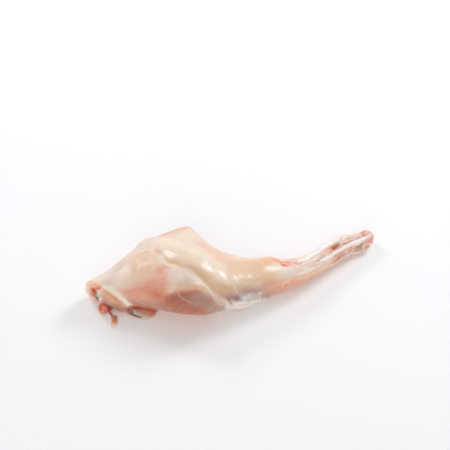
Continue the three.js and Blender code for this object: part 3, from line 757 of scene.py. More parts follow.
M["cherry"] = both(0.12 * oval(157.5, 251.8, 2.8, 1.5, -25), 0.2 * mark([(162, 265.5), (168, 268), (171, 268.5)], 0.7), 0.7 * oval(155, 295, 6, 2.4, -30), 0.9 * oval(101.5, 308.5, 3.4, 4.6, 0), 0.7 * oval(115.5, 321.5, 1.8, 2.4, 0), 0.7 * patch([(130, 306), (157, 308), (157, 313), (148, 312), (138, 311)], 1.2), 0.7 * mark([(234, 296.8), (239, 294.5), (242, 294.5)], 0.6),
                   0.8 * spots([(262, 297, 0.9)]), 0.6 * mark([(284, 287), (286, 283)], 0.7), 0.5 * mark([(291, 282), (296, 277)], 0.5), 0.6 * mark([(112, 314), (113, 318)], 1.2), 0.15 * oval(369, 246, 3, 2, 30), 0.85 * mark([(99, 288), (94, 289.5), (93, 292.5), (95, 296)], 1.4, 0.3))
# near-black red: real dark tissue in the notch, the shred, the flap's corner and along the hock; elsewhere painted
# shade, in the pit beside the bone end, in the pocket beside the membrane, on the far side of the trimmed lump, along
# the flap under the thigh's edge and in the knee hollow
M["deep"] = both(0.95 * oval(334.5, 247.5, 2.6, 2.0, 45, wob=0.3), 0.9 * oval(359, 244.2, 2.8, 2.0, 30, wob=0.3), 0.6 * oval(95.5, 291.5, 1.8, 2.6, -30, wob=0.3), 0.85 * oval(97.5, 297.5, 1.6, 3.0, -25), 0.9 * oval(108.5, 309, 3.8, 3.6, 0, wob=0.3),
                 0.85 * mark([(127, 309), (134, 308.5), (144, 309.5), (155, 311.5)], 1.5, 0.3, 0.3), 0.85 * patch([(124, 307), (133, 309), (134, 314), (142, 318), (132, 318), (125, 312)], 1.0), 0.3 * mark([(228.6, 299), (230.4, 301.6), (232.4, 305)], 1.1, 0.2, 0.3),
                 0.7 * mark([(332, 260.5), (337, 260), (341, 258.5)], 1.0), 0.7 * mark([(344, 257), (347, 253.5), (350, 250.5)], 0.8), 0.7 * mark([(109, 313), (112, 315.5)], 1.0), 0.8 * mark([(116, 315), (117, 319)], 1.0),
                 0.5 * mark([(342, 243.5), (350, 240.5)], 0.7), 0.6 * oval(243, 297.5, 2.0, 1.4, 0, wob=0.3))
M["vein"] = both(0.2 * mark([(190, 240), (198, 244.4), (208, 250.3), (216, 255), (226, 256.8), (238, 258.3), (250, 257.6)], 1.0, 0.5),
                 0.12 * mark([(109, 273), (112, 279), (116, 283)], 0.7, 1.4), 0.12 * mark([(113, 271), (112, 276)], 0.6, 1.4), 0.3 * mark([(290, 283), (302, 276), (306, 274)], 0.5, 0.6),
                 0.25 * mark([(133, 290), (141, 288), (150, 284)], 0.5, 0.8))


def grain(turn, long, wide, seed):
    """Irregular streaks over the picture plane, 0 to 1; turn in degrees, counter-clockwise."""
    tab = np.random.RandomState(seed).rand(64, 64)
    t = math.radians(turn)
    u = (PX * math.cos(t) - PY * math.sin(t)) / long + 0.35 * WOBX
    v = (PX * math.sin(t) + PY * math.cos(t)) / wide + 0.25 * WOBY
    iu, iv = np.floor(u).astype(int), np.floor(v).astype(int)
    fu, fv = smooth(u - iu), smooth(v - iv)
    a, b = tab[iu % 64, iv % 64], tab[(iu + 1) % 64, iv % 64]
    c, d = tab[iu % 64, (iv + 1) % 64], tab[(iu + 1) % 64, (iv + 1) % 64]
    return (a * (1 - fu) + b * fu) * (1 - fv) + (c * (1 - fu) + d * fu) * fv


TINT = np.zeros((len(V), 4))


def paint(tint, amount):
    """Lays a tint over the ones before it."""
    a = np.clip(amount, 0, 1)[:, None]
    TINT[:, :3] = TINT[:, :3] * (1 - a) + np.array(tint) * a
    TINT[:, 3:] = TINT[:, 3:] * (1 - a) + a


# sides that the viewer doesn't see, in the same tissues
far = HID * smooth((NRM[:, 1] + 0.1) / 0.5)
near_low = HID * smooth((-NRM[:, 1] + 0.1) / 0.5)
thigh_x = smooth((-2 - x) / 14)
shank_x = smooth((x - 34) / 14)
w1, w2, w3 = [smooth(0.5 + 0.9 * waves(V, (22, 12, 7), q, (1, 1, 2.2))) for q in (41, 42, 43)]
paint((0.78, 0.34, 0.22), near_low * thigh_x * (0.45 + 0.4 * w1))
paint((0.56, 0.17, 0.10), near_low * thigh_x * smooth((x + 60) / 20) * 0.55 * w2)
paint((0.88, 0.78, 0.70), near_low * (1 - thigh_x) * (1 - shank_x) * (0.4 + 0.4 * w1))
paint((0.86, 0.42, 0.26), near_low * shank_x * (0.5 + 0.35 * w2))
paint((0.84, 0.44, 0.30), far * thigh_x * 0.55 * w1)
paint((0.86, 0.42, 0.26), far * shank_x * (0.35 + 0.35 * w3))
paint((0.86, 0.74, 0.66), far * 0.5 * w2 * (1 - 0.6 * w1))
paint((0.76, 0.27, 0.17), far * thigh_x * 0.5 * smooth((w3 - 0.72) / 0.2))
for seam3, tone, wide, deep in ((FAR1, (0.90, 0.78, 0.68), 1.8, 0.6), (FAR1, (0.70, 0.20, 0.15), 0.6, 0.45), (FAR2, (0.90, 0.76, 0.66), 1.4, 0.5), (FAR3, (0.92, 0.80, 0.70), 1.6, 0.6), (FAR3, (0.72, 0.24, 0.18), 0.5, 0.35)):
    paint(tone, deep * L3(seam3, wide) * HID)
# skin of sinew over the end of the joint
tip = smooth((x - 96) / 6)
paint((0.90, 0.62, 0.52), HID * tip * 0.7)
paint((0.94, 0.84, 0.76), HID * tip * 0.7 * w1)
paint((0.74, 0.26, 0.20), HID * tip * 0.5 * smooth((w2 - 0.6) / 0.3))

# thigh: pink bundles that rise to the right, the orange-red spot, fine pale fibres, painted reflections and painted
# highlights on the fascia
g1, g2, g3 = grain(18, 16, 2.2, 1), grain(-17, 18, 1.8, 2), grain(-30, 14, 2.0, 3)
paint((0.84, 0.42, 0.30), 0.55 * g1 * patch([(122, 289), (134, 285), (148, 280), (158, 272), (168, 269), (172, 276), (170, 286), (160, 292), (140, 295), (126, 298)], 6))
paint((0.90, 0.60, 0.48), 0.55 * oval(143, 286.5, 7, 2.6, 15) + 0.4 * g1 * oval(150, 284, 14, 4, 15))
paint((0.82, 0.38, 0.25), 0.5 * patch([(124, 292), (138, 284), (150, 277), (158, 271), (168, 269), (174, 274), (170, 284), (167, 296), (156, 301), (140, 299), (128, 298)], 8))
paint((0.80, 0.28, 0.16), 0.55 * oval(155.5, 293.5, 11, 6, -18) + 0.4 * oval(155.5, 294, 7, 4, -22) + 0.45 * mark([(124, 294), (135, 291), (148, 288)], 2.6) + 0.4 * mark([(146, 283), (154, 279), (162, 272)], 2.6) + 0.35 * oval(161, 269, 5, 3, 20))
paint((0.70, 0.14, 0.07), 0.55 * oval(157.5, 295.5, 4, 2.2, -22))
paint((0.90, 0.58, 0.45), 0.5 * g2 * patch([(126, 296), (146, 299), (162, 304), (178, 309), (160, 309), (140, 305)], 2) + 0.5 * mark([(129, 299), (140, 302.3), (152, 305.5), (163, 308)], 0.8))
paint((0.62, 0.24, 0.16), 0.45 * (1 - g2) * patch([(126, 301), (146, 304), (162, 307), (178, 310), (160, 313), (140, 309)], 2))
paint((0.52, 0.11, 0.06), 0.55 * patch([(166, 297), (174, 293), (184, 290.6), (194, 290), (204, 291.6), (196, 293.5), (187, 296), (184, 303), (192, 307), (205, 310), (196, 314), (176, 312), (164, 305)], 2.2) * (0.7 + 0.5 * g3))
paint((0.60, 0.16, 0.10), 0.45 * oval(196, 310.5, 10, 2.6, 0))
paint((0.42, 0.26, 0.215), 0.6 * oval(203, 299.5, 11, 5.4, -12) + 0.55 * mark([(202, 309), (212, 308.5), (222, 307)], 2.4))
paint((0.44, 0.13, 0.08), 0.35 * mark([(162, 309), (176, 312.4), (190, 314), (206, 313)], 2.4))
paint((0.86, 0.62, 0.48), 0.35 * mark([(175.6, 280), (175.8, 287), (178.5, 293.5), (184.5, 299), (192, 302.8)], 1.1, 0.6, 0.5))
paint((0.88, 0.38, 0.24), (0.6 * mark([(154, 250.4), (158.6, 251.6), (161.5, 252.5)], 1.5) + 0.6 * mark([(163, 265.6), (167, 267.4), (171, 268.6)], 0.7)) * (0.35 + 0.9 * grain(0, 1.8, 1.5, 15)) + 0.3 * oval(161, 268.5, 4, 2, -20))
paint((0.95, 0.78, 0.60), 0.6 * mark([(161, 261.5), (166, 264), (170, 266), (175, 265.3), (180, 266)], 0.9, 1.2))
paint((0.88, 0.54, 0.35), 0.5 * mark([(132, 255.6), (140, 253.8), (149, 252.4)], 1.8, 1.0) + 0.4 * oval(142, 258.5, 9, 3.4, 20) + 0.5 * grain(75, 9, 3.0, 16) * oval(146, 268, 13, 9, 30))
paint((0.93, 0.72, 0.62), 0.4 * oval(152, 257, 4, 3.4, -30))
# the faint pale strokes on the rump are painted reflections on folds of fascia
paint((0.95, 0.84, 0.70), 0.4 * mark([(137, 260), (139.5, 266), (137.5, 272)], 2.2, 0.6) + 0.3 * mark([(131, 264), (131.5, 270), (129, 276)], 1.8, 0.6) + 0.35 * oval(129, 280, 6, 2.8, 10))
paint((0.90, 0.60, 0.50), 0.4 * mark([(192, 241), (202, 246), (210, 250.6), (220, 254.6)], 1.4, 1.0) * (0.4 + 0.7 * grain(-25, 7, 1.4, 31)))
paint((0.84, 0.68, 0.53), 0.3 * patch([(186, 229), (194, 229), (214, 246), (232, 254), (262, 255), (262, 262), (230, 262), (206, 256), (186, 240)], 4))
paint((0.93, 0.66, 0.46), 0.35 * oval(172, 234.6, 12, 2.2, 17) + 0.4 * oval(189, 229.6, 3.4, 1.6, 10))
# painted highlight on the edge of the fascia, above the pale fascia line that runs down from it
paint((0.97, 0.91, 0.87), 0.45 * oval(199.5, 279.6, 5.4, 2.6, -44) + 0.3 * mark([(205, 284), (210, 290), (214, 297)], 1.4, 0.6))
# painted highlights and sheen on the pale fascia above the hip cut
paint((0.97, 0.90, 0.84), 0.5 * oval(120.6, 275.6, 4.2, 1.8, 42) + 0.5 * oval(111, 287, 3.6, 2.4, -30) + 0.25 * oval(99, 278.6, 7, 2.4, 30))
# mottled lilac-grey of the translucent tissue by the cut, partly painted shade over its shallow dent
paint((0.86, 0.72, 0.68), 0.4 * oval(109.6, 277.6, 4.6, 4.6, 60) * (0.5 + 0.8 * grain(30, 3, 2.2, 32)))
# pale wisps and blushes in the pink of the thigh, then further glazes, among them painted shade at the knee and painted
# highlights on the ham
paint((0.93, 0.70, 0.58), 0.22 * smooth((grain(14, 13, 1.9, 33) - 0.45) / 0.4) * patch([(126, 290), (140, 284), (156, 276), (168, 272), (170, 284), (160, 292), (140, 297), (128, 298)], 4))
paint((0.78, 0.27, 0.17), 0.3 * smooth((grain(16, 12, 2.0, 34) - 0.45) / 0.4) * patch([(126, 292), (140, 286), (156, 279), (168, 274), (168, 288), (162, 298), (140, 300), (128, 299)], 4))
paint((0.42, 0.17, 0.12), 0.2 * patch([(162, 301), (176, 293), (204, 292), (222, 301), (232, 308), (222, 314), (190, 318), (160, 312)], 5))
paint((0.80, 0.26, 0.14), 0.35 * oval(157, 293.5, 8, 4.6, -18) + 0.25 * patch([(126, 291), (146, 284), (164, 275), (168, 282), (160, 292), (140, 296)], 5))
# painted shade in the darkest part of the knee hollow
paint((0.40, 0.21, 0.18), 0.42 * oval(264.5, 293.8, 6.5, 3.6, 18))
paint((0.50, 0.16, 0.05), 0.2 * patch([(160, 302), (167, 296), (176, 292), (196, 290), (210, 295), (214, 304), (206, 312), (176, 312), (160, 308)], 3))
paint((0.66, 0.20, 0.10), 0.36 * patch([(148, 293), (158, 289), (166, 291), (168, 299), (160, 303), (148, 301)], 5))
paint((0.42, 0.14, 0.08), 0.36 * patch([(128, 301), (140, 300), (156, 302), (168, 304), (170, 310), (156, 309.5), (138, 307), (128, 305)], 3))
paint((0.42, 0.15, 0.09), 0.2 * mark([(186, 313), (200, 313), (212, 311)], 2.4))
paint((0.82, 0.52, 0.34), 0.4 * patch([(166, 287), (176, 284.5), (188, 285), (194, 288.4), (182, 289.4), (170, 293), (165, 292)], 2.6))
paint((0.86, 0.74, 0.68), 0.5 * patch([(165, 268.6), (172, 267), (182, 268), (184, 280), (174, 285), (167, 280)], 3))
paint((0.88, 0.55, 0.42), 0.4 * oval(142, 280, 9, 4.5, 20) + 0.3 * oval(132, 256, 6, 4, 35))
paint((0.92, 0.62, 0.48), 0.35 * oval(211, 254.6, 6, 3, -25) + 0.2 * oval(166, 240, 9, 3, 12))
paint((0.97, 0.82, 0.72), 0.4 * patch([(222, 254), (240, 255.4), (262, 255.6), (262, 260), (240, 262), (226, 260)], 3))
# painted shade at the knee, above the fat and beside the notch
paint((0.40, 0.23, 0.18), 0.4 * oval(264, 291, 9, 5, 15) + 0.2 * oval(274, 291, 7, 5, 20) + 0.35 * oval(222, 296, 4, 4, 0))
paint((0.99, 0.88, 0.81), 0.4 * patch([(112, 274), (124, 268), (130, 270), (128, 278), (122, 285), (114, 286), (110, 280)], 3))
paint((0.96, 0.60, 0.44), 0.3 * oval(120, 291, 6, 4, -30) + 0.3 * oval(137, 277, 6, 3.6, 25))
paint((0.56, 0.17, 0.08), 0.35 * patch([(184, 308), (196, 306.5), (206, 309), (210, 313), (196, 316), (182, 314)], 2.4))
# painted highlights on the ham: a soft blob and a wedge
paint((1.0, 0.95, 0.92), 0.35 * oval(206.6, 266, 6.5, 3.6, -38) + 0.35 * oval(222, 275.6, 3.0, 5.0, -32))
paint((0.88, 0.38, 0.24), 0.5 * spots([(158.4, 252.2, 1.3), (167.4, 267.6, 0.9), (170.6, 268.6, 0.7), (163, 264.4, 0.6)]))
paint((0.98, 0.86, 0.72), 0.5 * mark([(160, 258.6), (164, 261), (167, 264.6), (172, 264.4), (176, 266.4)], 0.6, 1.6, 0.4) * (0.3 + 1.1 * grain(0, 1.8, 1.4, 53)))
paint((0.70, 0.19, 0.08), 0.36 * oval(160.6, 296.6, 6.5, 3.8, -20))
paint((0.46, 0.17, 0.09), 0.26 * patch([(140, 300), (152, 298), (166, 303), (168, 309), (152, 308), (140, 305)], 3) + 0.36 * oval(134, 300.8, 5.5, 2.4, -15))
paint((0.58, 0.12, 0.05), 0.26 * oval(171, 297.4, 7.5, 4, -22))
paint((0.80, 0.30, 0.13), 0.34 * mark([(174, 292.6), (182, 290.4), (190, 289.8), (197, 291)], 2.0, 0.5, 0.4))
paint((0.86, 0.56, 0.33), 0.24 * patch([(164, 289), (176, 284), (196, 284), (210, 289), (206, 291), (188, 288), (170, 292)], 2.4))
paint((0.40, 0.28, 0.25), 0.16 * patch([(200, 305), (216, 303), (234, 304), (234, 310), (216, 312), (200, 313)], 3))
paint((0.60, 0.26, 0.18), 0.2 * oval(271.5, 287.4, 9, 5.5, 15))
paint((0.84, 0.62, 0.47), 0.26 * patch([(188, 226), (198, 230), (216, 246), (234, 254), (232, 259), (210, 252), (190, 238)], 3))
paint((0.46, 0.14, 0.08), 0.18 * patch([(184, 305), (204, 306), (212, 311), (196, 316), (182, 314)], 2.4) + 0.18 * mark([(158, 308.6), (170, 311), (182, 313)], 2.0))
paint((0.90, 0.54, 0.33), 0.26 * oval(137, 255.4, 8, 2.8, 15))
# lilac-grey of the translucent tissue by the cut, partly painted shade over its shallow dent
paint((0.80, 0.62, 0.58), 0.34 * oval(110.5, 278.4, 3.8, 4, 60))
paint((0.93, 0.61, 0.52), 0.42 * mark([(197, 245.6), (206, 250), (214, 254)], 2.0, 0.8, 0.4))
paint((0.90, 0.62, 0.48), 0.2 * patch([(190, 240), (198, 240), (212, 250), (222, 256), (216, 260), (202, 254), (192, 247)], 3))
paint((0.90, 0.50, 0.38), 0.26 * oval(134, 284.6, 5.5, 3, 20))
paint((0.98, 0.70, 0.55), 0.2 * oval(126, 280, 8, 5.5, 30))
paint((0.98, 0.86, 0.74), 0.2 * oval(184, 261.6, 9, 2.8, -15) + 0.16 * oval(213, 281, 6, 4, -40))
# hip cut: peach rim, orange wall, red streak, white membrane with painted shade in the gap beside it, pale lip
paint((0.98, 0.74, 0.54), 0.85 * patch([(85, 282), (92, 279.5), (100, 281.5), (106, 287), (100, 286.4), (92, 284.8), (89, 291), (95, 300), (99, 303), (93, 302), (87, 292)], 1.0, 0.4))
paint((0.95, 0.46, 0.25), 0.85 * patch([(89, 285.6), (94, 284), (100, 284.6), (104.5, 288.5), (104, 293), (99, 291.5), (94, 290), (93, 297), (90, 293)], 1.4, 0.4))
paint((0.80, 0.17, 0.09), 0.9 * mark([(99.6, 287.8), (96, 288.4), (93, 290.0), (92.8, 293), (94.2, 295.4)], 1.5, 0.5, 0.3))
# painted shade in the gap beside the white membrane
paint((0.30, 0.15, 0.13), 0.75 * oval(95.6, 294.6, 1.2, 2.6, -28, wob=0.3) + 0.75 * oval(98, 298.6, 1.3, 2.6, -28, wob=0.3))
paint((0.88, 0.50, 0.28), 0.85 * patch([(101, 287), (107, 290), (116, 296.5), (124, 303), (122, 306), (112, 302), (104, 297), (100, 292)], 1.6, 0.6))
paint((0.95, 0.70, 0.48), 0.75 * oval(101.8, 290.5, 2.8, 4.0, -20) + 0.25 * mark([(103, 293), (108, 297), (114, 301)], 2.0) * (0.5 + 0.7 * g3))
paint((0.78, 0.34, 0.16), 0.8 * mark([(105, 290.8), (111, 295.4), (117, 300), (122, 304)], 2.4))
paint((0.50, 0.17, 0.09), 0.9 * mark([(103, 300.5), (109, 304.5), (116, 307.6), (123, 308)], 2.0) * (0.6 + 0.5 * g3))
paint((0.74, 0.42, 0.33), 0.5 * oval(122, 305.5, 4, 2.4, -25))
paint((0.82, 0.13, 0.06), 0.85 * mark([(99.8, 288.4), (96.8, 288.6), (93.6, 289.4), (92.6, 292)], 1.1, 0.5, 0.3) + 0.5 * oval(98.6, 288.4, 1.6, 1.3, 0, wob=0.3))
paint((0.97, 0.90, 0.85), 0.9 * mark([(96.2, 292.6), (97.8, 295.4), (99.4, 298.6), (101.4, 302.4)], 0.45, 0.5, 0.3))
paint((0.62, 0.32, 0.24), 0.75 * patch([(101, 295), (106, 298), (112, 302.4), (118, 306), (126, 308.6), (124, 312), (112, 309), (104, 303.6)], 1.6, 0.6))
paint((0.56, 0.27, 0.20), 0.8 * patch([(112, 305.6), (120, 307), (127.4, 307.6), (127, 313.4), (118, 312.6), (112, 309)], 1.2, 0.4))
paint((0.44, 0.13, 0.07), 0.75 * mark([(102, 301.6), (108, 305), (115, 308.4), (123, 310.4)], 1.5, 0.5) * (0.6 + 0.5 * g3))
paint((0.84, 0.60, 0.48), 0.5 * grain(-35, 5, 1.0, 18) * patch([(101, 294), (110, 299), (124, 306), (124, 310), (108, 306), (101, 301)], 1.6))
paint((0.46, 0.17, 0.10), 0.45 * patch([(114, 303), (120, 303.6), (126, 306.6), (127, 312), (118, 311.6), (108, 306)], 1.4) + 0.3 * patch([(101, 294), (105, 295), (110, 300), (106, 301), (101, 298)], 1.2))
paint((1.0, 0.87, 0.73), 1.0 * mark([(104, 286.5), (109, 289), (114, 292.4), (121, 297.8), (127, 303), (130.5, 305)], 1.9, 0.2, 0.2))
paint((0.74, 0.30, 0.13), 0.3 * patch([(101, 288), (108, 291.6), (118, 299), (122, 305), (112, 302), (103, 297)], 1.6))
paint((0.56, 0.21, 0.10), 0.4 * oval(117, 301.4, 4.4, 2.2, -38) + 0.3 * oval(122, 308.6, 4, 2.4, -20))
# trimmed lump, with painted highlights on its facets and painted shade in its creases and on its far side, and the
# shred
paint((0.76, 0.13, 0.07), 0.95 * oval(103, 308.5, 5.6, 5.8, 0, wob=0.4))
# painted highlights on the lit facets of the lump
paint((0.95, 0.55, 0.42), 0.65 * oval(103.6, 307.6, 1.5, 2.2, -20, wob=0.4) + 0.7 * oval(102, 312.4, 2.4, 0.9, 0) + 0.5 * mark([(106, 308), (107, 311)], 0.7))
# painted shade along the top edge of the lump and in a crease between its facets
paint((0.60, 0.08, 0.04), 0.7 * mark([(101.4, 303.8), (104, 304.2), (106, 306)], 0.8) + 0.6 * mark([(101.6, 306), (101.8, 309.6), (104.6, 310.8)], 0.5))
# painted shade on the far side of the lump
paint((0.20, 0.02, 0.012), 0.98 * patch([(105.5, 303.5), (109, 305), (112.5, 308.5), (110, 311.5), (107.5, 311), (107.8, 307.5)], 0.8, 0.3))
paint((0.80, 0.14, 0.07), 0.3 * oval(103, 308, 5, 5.4, 0))
paint((0.56, 0.06, 0.03), 0.92 * mark([(108.6, 311.6), (111.4, 314.4), (113.6, 318)], 2.3, 0.3, 0.2))
paint((0.98, 0.30, 0.15), 0.88 * oval(115.8, 321.6, 1.8, 2.0, 0))
paint((1.0, 0.80, 0.56), 0.9 * oval(113, 324.6, 1.8, 2.4, 0) + 0.5 * mark([(112.6, 316), (113.8, 319.6)], 0.6))
paint((0.28, 0.11, 0.09), 0.85 * mark([(114.6, 314.6), (116.4, 315.6), (117, 318), (118, 319.6)], 0.8, 0.2, 0.2))
# flap: painted shade in deep red along the upper edge under the thigh, maroon left part, dark corner, white streak,
# orange-brown lobe
paint((0.52, 0.18, 0.09), 0.9 * patch([(134, 307), (150, 308), (158, 309), (157, 313), (151, 317.5), (142, 318), (136, 313)], 1.2, 0.4))
# painted shade, in deep red, along the flap's upper edge under the thigh
paint((0.66, 0.13, 0.06), 0.85 * mark([(130, 306.4), (138, 307.6), (147, 308.8), (155.5, 310)], 1.5, 0.3, 0.2) + 0.5 * oval(153, 312.5, 3, 2.6, 0))
paint((0.62, 0.36, 0.24), 0.55 * mark([(139, 311.4), (143, 310.8), (147, 313), (149, 315.5)], 1.5, 0.6))
paint((0.27, 0.04, 0.022), 0.97 * patch([(126.5, 307.5), (130, 307), (133, 309.5), (134.5, 313.6), (131, 314.6), (127, 311.5)], 1.2, 0.6))
paint((0.76, 0.36, 0.28), 0.4 * grain(-20, 2.0, 1.4, 19) * oval(129.5, 310, 4, 3, -30))
paint((0.22, 0.09, 0.10), 0.9 * patch([(131, 313), (136, 314.5), (141, 317), (141, 319.5), (134, 318), (130, 315.5)], 0.8, 0.3))
paint((0.50, 0.13, 0.04), 0.5 * oval(147, 311.2, 5.5, 2.4, 5))
paint((0.50, 0.44, 0.41), 0.85 * mark([(134, 310.6), (138, 313), (142, 315.4), (147, 317)], 1.4, 0.3, 0.3))
# knee: painted shade in the grey-violet hollow and in a band above the fat, brown-red notch, blue-white fat
# painted shade in the grey-violet hollow of the knee and beside the lumps
paint((0.30, 0.165, 0.18), 0.9 * oval(236.5, 298, 7, 3.0, -3) + 0.3 * oval(250, 294.5, 6, 2.2, 3) + 0.45 * oval(266, 295.5, 4.5, 3, 0))
# painted shade in a brown-grey band above the fat
paint((0.48, 0.27, 0.22), 0.42 * oval(255, 290.6, 12, 3.6, 3) + 0.2 * mark([(228, 295), (240, 293.6), (250, 291)], 2.4))
paint((0.90, 0.86, 0.84), 0.6 * patch([(226, 303), (234, 303.5), (244, 301.5), (256, 302), (258, 306), (240, 309), (226, 309.5)], 1.4) )
# painted shade between the fat lumps, mottled
paint((0.52, 0.38, 0.36), 0.5 * patch([(240, 294), (250, 292), (262, 291.5), (268, 295), (262, 300), (250, 302), (240, 300)], 1.6) * (0.5 + 0.7 * grain(0, 2.6, 2.2, 5)))
paint((0.80, 0.74, 0.71), 0.45 * patch([(240, 295), (250, 293.6), (256, 294), (257, 299), (262, 300), (258, 303), (248, 302), (240, 300)], 1.4) * (0.5 + 0.8 * grain(10, 2.6, 1.8, 51)))
paint((0.93, 0.91, 0.89), (0.75 * spots([(244.5, 297.6, 1.5), (248.5, 296.2, 1.1), (259.5, 293.3, 1.2), (259.5, 297.4, 1.0), (255.6, 300.6, 1.5), (263.2, 300.2, 0.8), (252, 301.4, 0.9)])) * (0.35 + 0.9 * grain(20, 1.7, 1.4, 52))
      + 0.75 * mark([(233.5, 303.8), (240, 302.6), (247, 301.8)], 1.1, 0.4))
paint((0.62, 0.40, 0.38), 0.5 * mark([(238, 305.4), (245, 304.2), (250, 303.6)], 0.7, 0.4))
paint((0.58, 0.17, 0.10), 0.8 * mark([(228.2, 298.4), (229.8, 300.8), (232.4, 305.2)], 1.5, 0.2, 0.5) + 0.35 * oval(229.4, 300.2, 1.8, 1.6, 0, wob=0.2))
# painted highlights on the calf: a glint with a thin line leading to it, a faint glow and a broad soft patch
paint((1.0, 0.95, 0.90), 0.7 * oval(248.4, 277.9, 2.3, 1.5, 15) + 0.3 * mark([(237, 277.4), (242, 277.4), (247, 278)], 0.7, 0.5) + 0.15 * oval(241, 276.6, 6, 1.8, 5) + 0.35 * oval(271.5, 268.6, 7.5, 2.8, -6))
# painted highlights on thin wrinkles of the calf
paint((0.97, 0.92, 0.86), 0.75 * mark([(232.3, 275.4), (234.8, 279.4), (237.8, 284)], 0.6, 0.3) + 0.55 * mark([(249.6, 275), (252.2, 277.8), (254.6, 279.8)], 0.45, 0.3) + 0.55 * mark([(253, 272.8), (256.6, 276), (259.6, 279.4)], 0.45, 0.3))
paint((0.72, 0.18, 0.11), 0.45 * mark([(234.6, 296.8), (237, 295.8), (240, 294.8)], 0.6) + 0.7 * spots([(262, 297, 0.9)]))
# more painted shade in the knee hollow
paint((0.28, 0.13, 0.14), 0.3 * oval(235, 298.8, 5.5, 2.6, -3))
# calf and shank
paint((0.88, 0.50, 0.27), 0.5 * oval(262, 264, 13, 5, 5) + 0.35 * oval(268, 277, 8, 4, 15) + 0.3 * oval(228, 259, 10, 2, -12))
paint((0.86, 0.42, 0.24), 0.5 * grain(24, 18, 1.8, 7) * patch([(268, 286), (284, 280), (304, 275), (322, 268), (336, 261), (338, 264), (322, 275), (304, 284), (286, 291), (270, 296)], 2.4))
paint((0.88, 0.48, 0.34), 0.45 * patch([(262, 284), (276, 281), (290, 278), (296, 282), (284, 291), (268, 296), (260, 292)], 5))
paint((1.0, 0.66, 0.46), 0.7 * mark([(282, 283), (292, 279), (306, 275), (320, 269.5), (332, 262.5)], 2.6))
paint((1.0, 0.96, 0.91), 0.92 * mark([(300, 260.6), (309, 257), (317, 252.8), (325, 246.6), (331, 241.4), (339, 239.2)], 2.0, 0.3, 0.3) + 0.55 * mark([(298, 275.5), (308, 271), (320, 266)], 0.8))
paint((0.92, 0.64, 0.54), 0.45 * patch([(300, 266), (312, 261), (324, 254), (333, 250), (336, 254), (326, 261), (312, 267), (302, 270)], 2))
paint((0.92, 0.68, 0.64), 0.5 * patch([(282, 258.4), (296, 258), (306, 256), (304, 260), (292, 262), (284, 261)], 1.4))
cords = patch([(294, 272), (304, 263), (316, 258), (328, 250), (338, 250), (334, 258), (320, 266), (304, 274)], 2)
paint((0.90, 0.50, 0.38), 0.5 * cords * smooth((grain(29, 9, 1.2, 35) - 0.5) / 0.3))
paint((0.98, 0.90, 0.83), 0.7 * cords * smooth((grain(29, 10, 1.1, 36) - 0.58) / 0.25))
paint((0.90, 0.50, 0.36), 0.55 * grain(28, 14, 1.4, 8) * patch([(304, 264), (316, 259), (328, 251), (334, 252), (330, 258), (318, 264), (308, 268)], 1.6))
# capillaries: a blush, and irregular bright red threads in it
cap = [(271, 258.8), (275, 260.4), (278.6, 262), (281.4, 263.6), (284, 265.6), (287.4, 266), (289.6, 264.6), (289.4, 262.6), (286.4, 262.2), (283, 262.6), (280, 262.2)]
gc = grain(0, 2.2, 2.2, 11)
paint((0.90, 0.55, 0.44), 0.35 * oval(287, 263.6, 8, 3.6, 10))
paint((0.94, 0.46, 0.33), 0.45 * mark(cap, 2.6) + 0.35 * mark([(290, 265), (296, 264), (303, 264.6)], 1.8) + 0.3 * mark([(292, 267.6), (298, 270), (304, 270.6)], 1.6))
paint((0.86, 0.09, 0.04), 0.95 * mark(cap, 0.6, 1.3, 0.2) * (0.4 + 0.9 * gc) + 0.7 * mark([(280.5, 264.2), (283.6, 266.2), (287, 266.4)], 0.9, 0.6) + 0.6 * mark([(270, 258), (276, 259.6), (282, 261.4)], 0.5, 0.9)
      + 0.8 * mark([(291, 265.6), (294.6, 263.8), (299, 264), (303, 262.6)], 0.6, 0.9) * (0.4 + 0.9 * gc) + 0.85 * mark([(291.6, 267.2), (295.4, 269.2), (299, 270.8), (303.6, 270.2)], 0.6, 0.8) * (0.5 + 0.8 * gc)
      + 0.7 * mark([(284.6, 286), (285.6, 283.6)], 0.8) + 0.4 * mark([(290, 282), (296, 278)], 0.6, 0.8))
paint((0.96, 0.87, 0.80), 0.45 * patch([(284, 268), (296, 266), (312, 262), (318, 263), (306, 272), (292, 276), (284, 275)], 2.5) * (0.5 + 0.8 * grain(24, 9, 1.6, 41)))
paint((0.99, 0.80, 0.67), 0.25 * oval(300, 279, 11, 2.8, 20))
paint((1.0, 0.78, 0.72), 0.25 * oval(300, 268, 9, 4, 15))
paint((1.0, 0.91, 0.85), 0.42 * oval(316, 261, 3.8, 1.8, 30) + 0.36 * mark([(302, 274), (308, 271.4), (314, 268)], 1.3))
# hock
paint((0.84, 0.15, 0.07), 0.95 * oval(334.6, 248.6, 5.2, 3.0, 40, wob=0.4))
paint((0.50, 0.10, 0.07), 0.6 * oval(334, 248, 1.8, 1.4, 42, wob=0.3))
paint((0.90, 0.68, 0.62), 0.5 * mark([(338, 243), (347, 240.6), (356, 236.8), (364, 233.4)], 1.5))
paint((0.84, 0.30, 0.19), 0.7 * patch([(334, 256), (346, 248), (354, 245), (356, 250), (348, 257), (338, 263), (330, 264)], 1.6) + 0.55 * oval(371.5, 241, 4, 3.6, 0) + 0.4 * oval(366, 231.6, 3, 1.6, 10))
paint((0.95, 0.84, 0.76), 0.6 * oval(371.6, 235.4, 2.2, 2.0, 0) + 0.5 * mark([(342, 240.6), (350, 237.6), (358, 235)], 0.7) + 0.95 * oval(334.8, 241.8, 4.2, 2.8, 30) + 0.6 * mark([(338.5, 243.8), (342.6, 242)], 0.8))
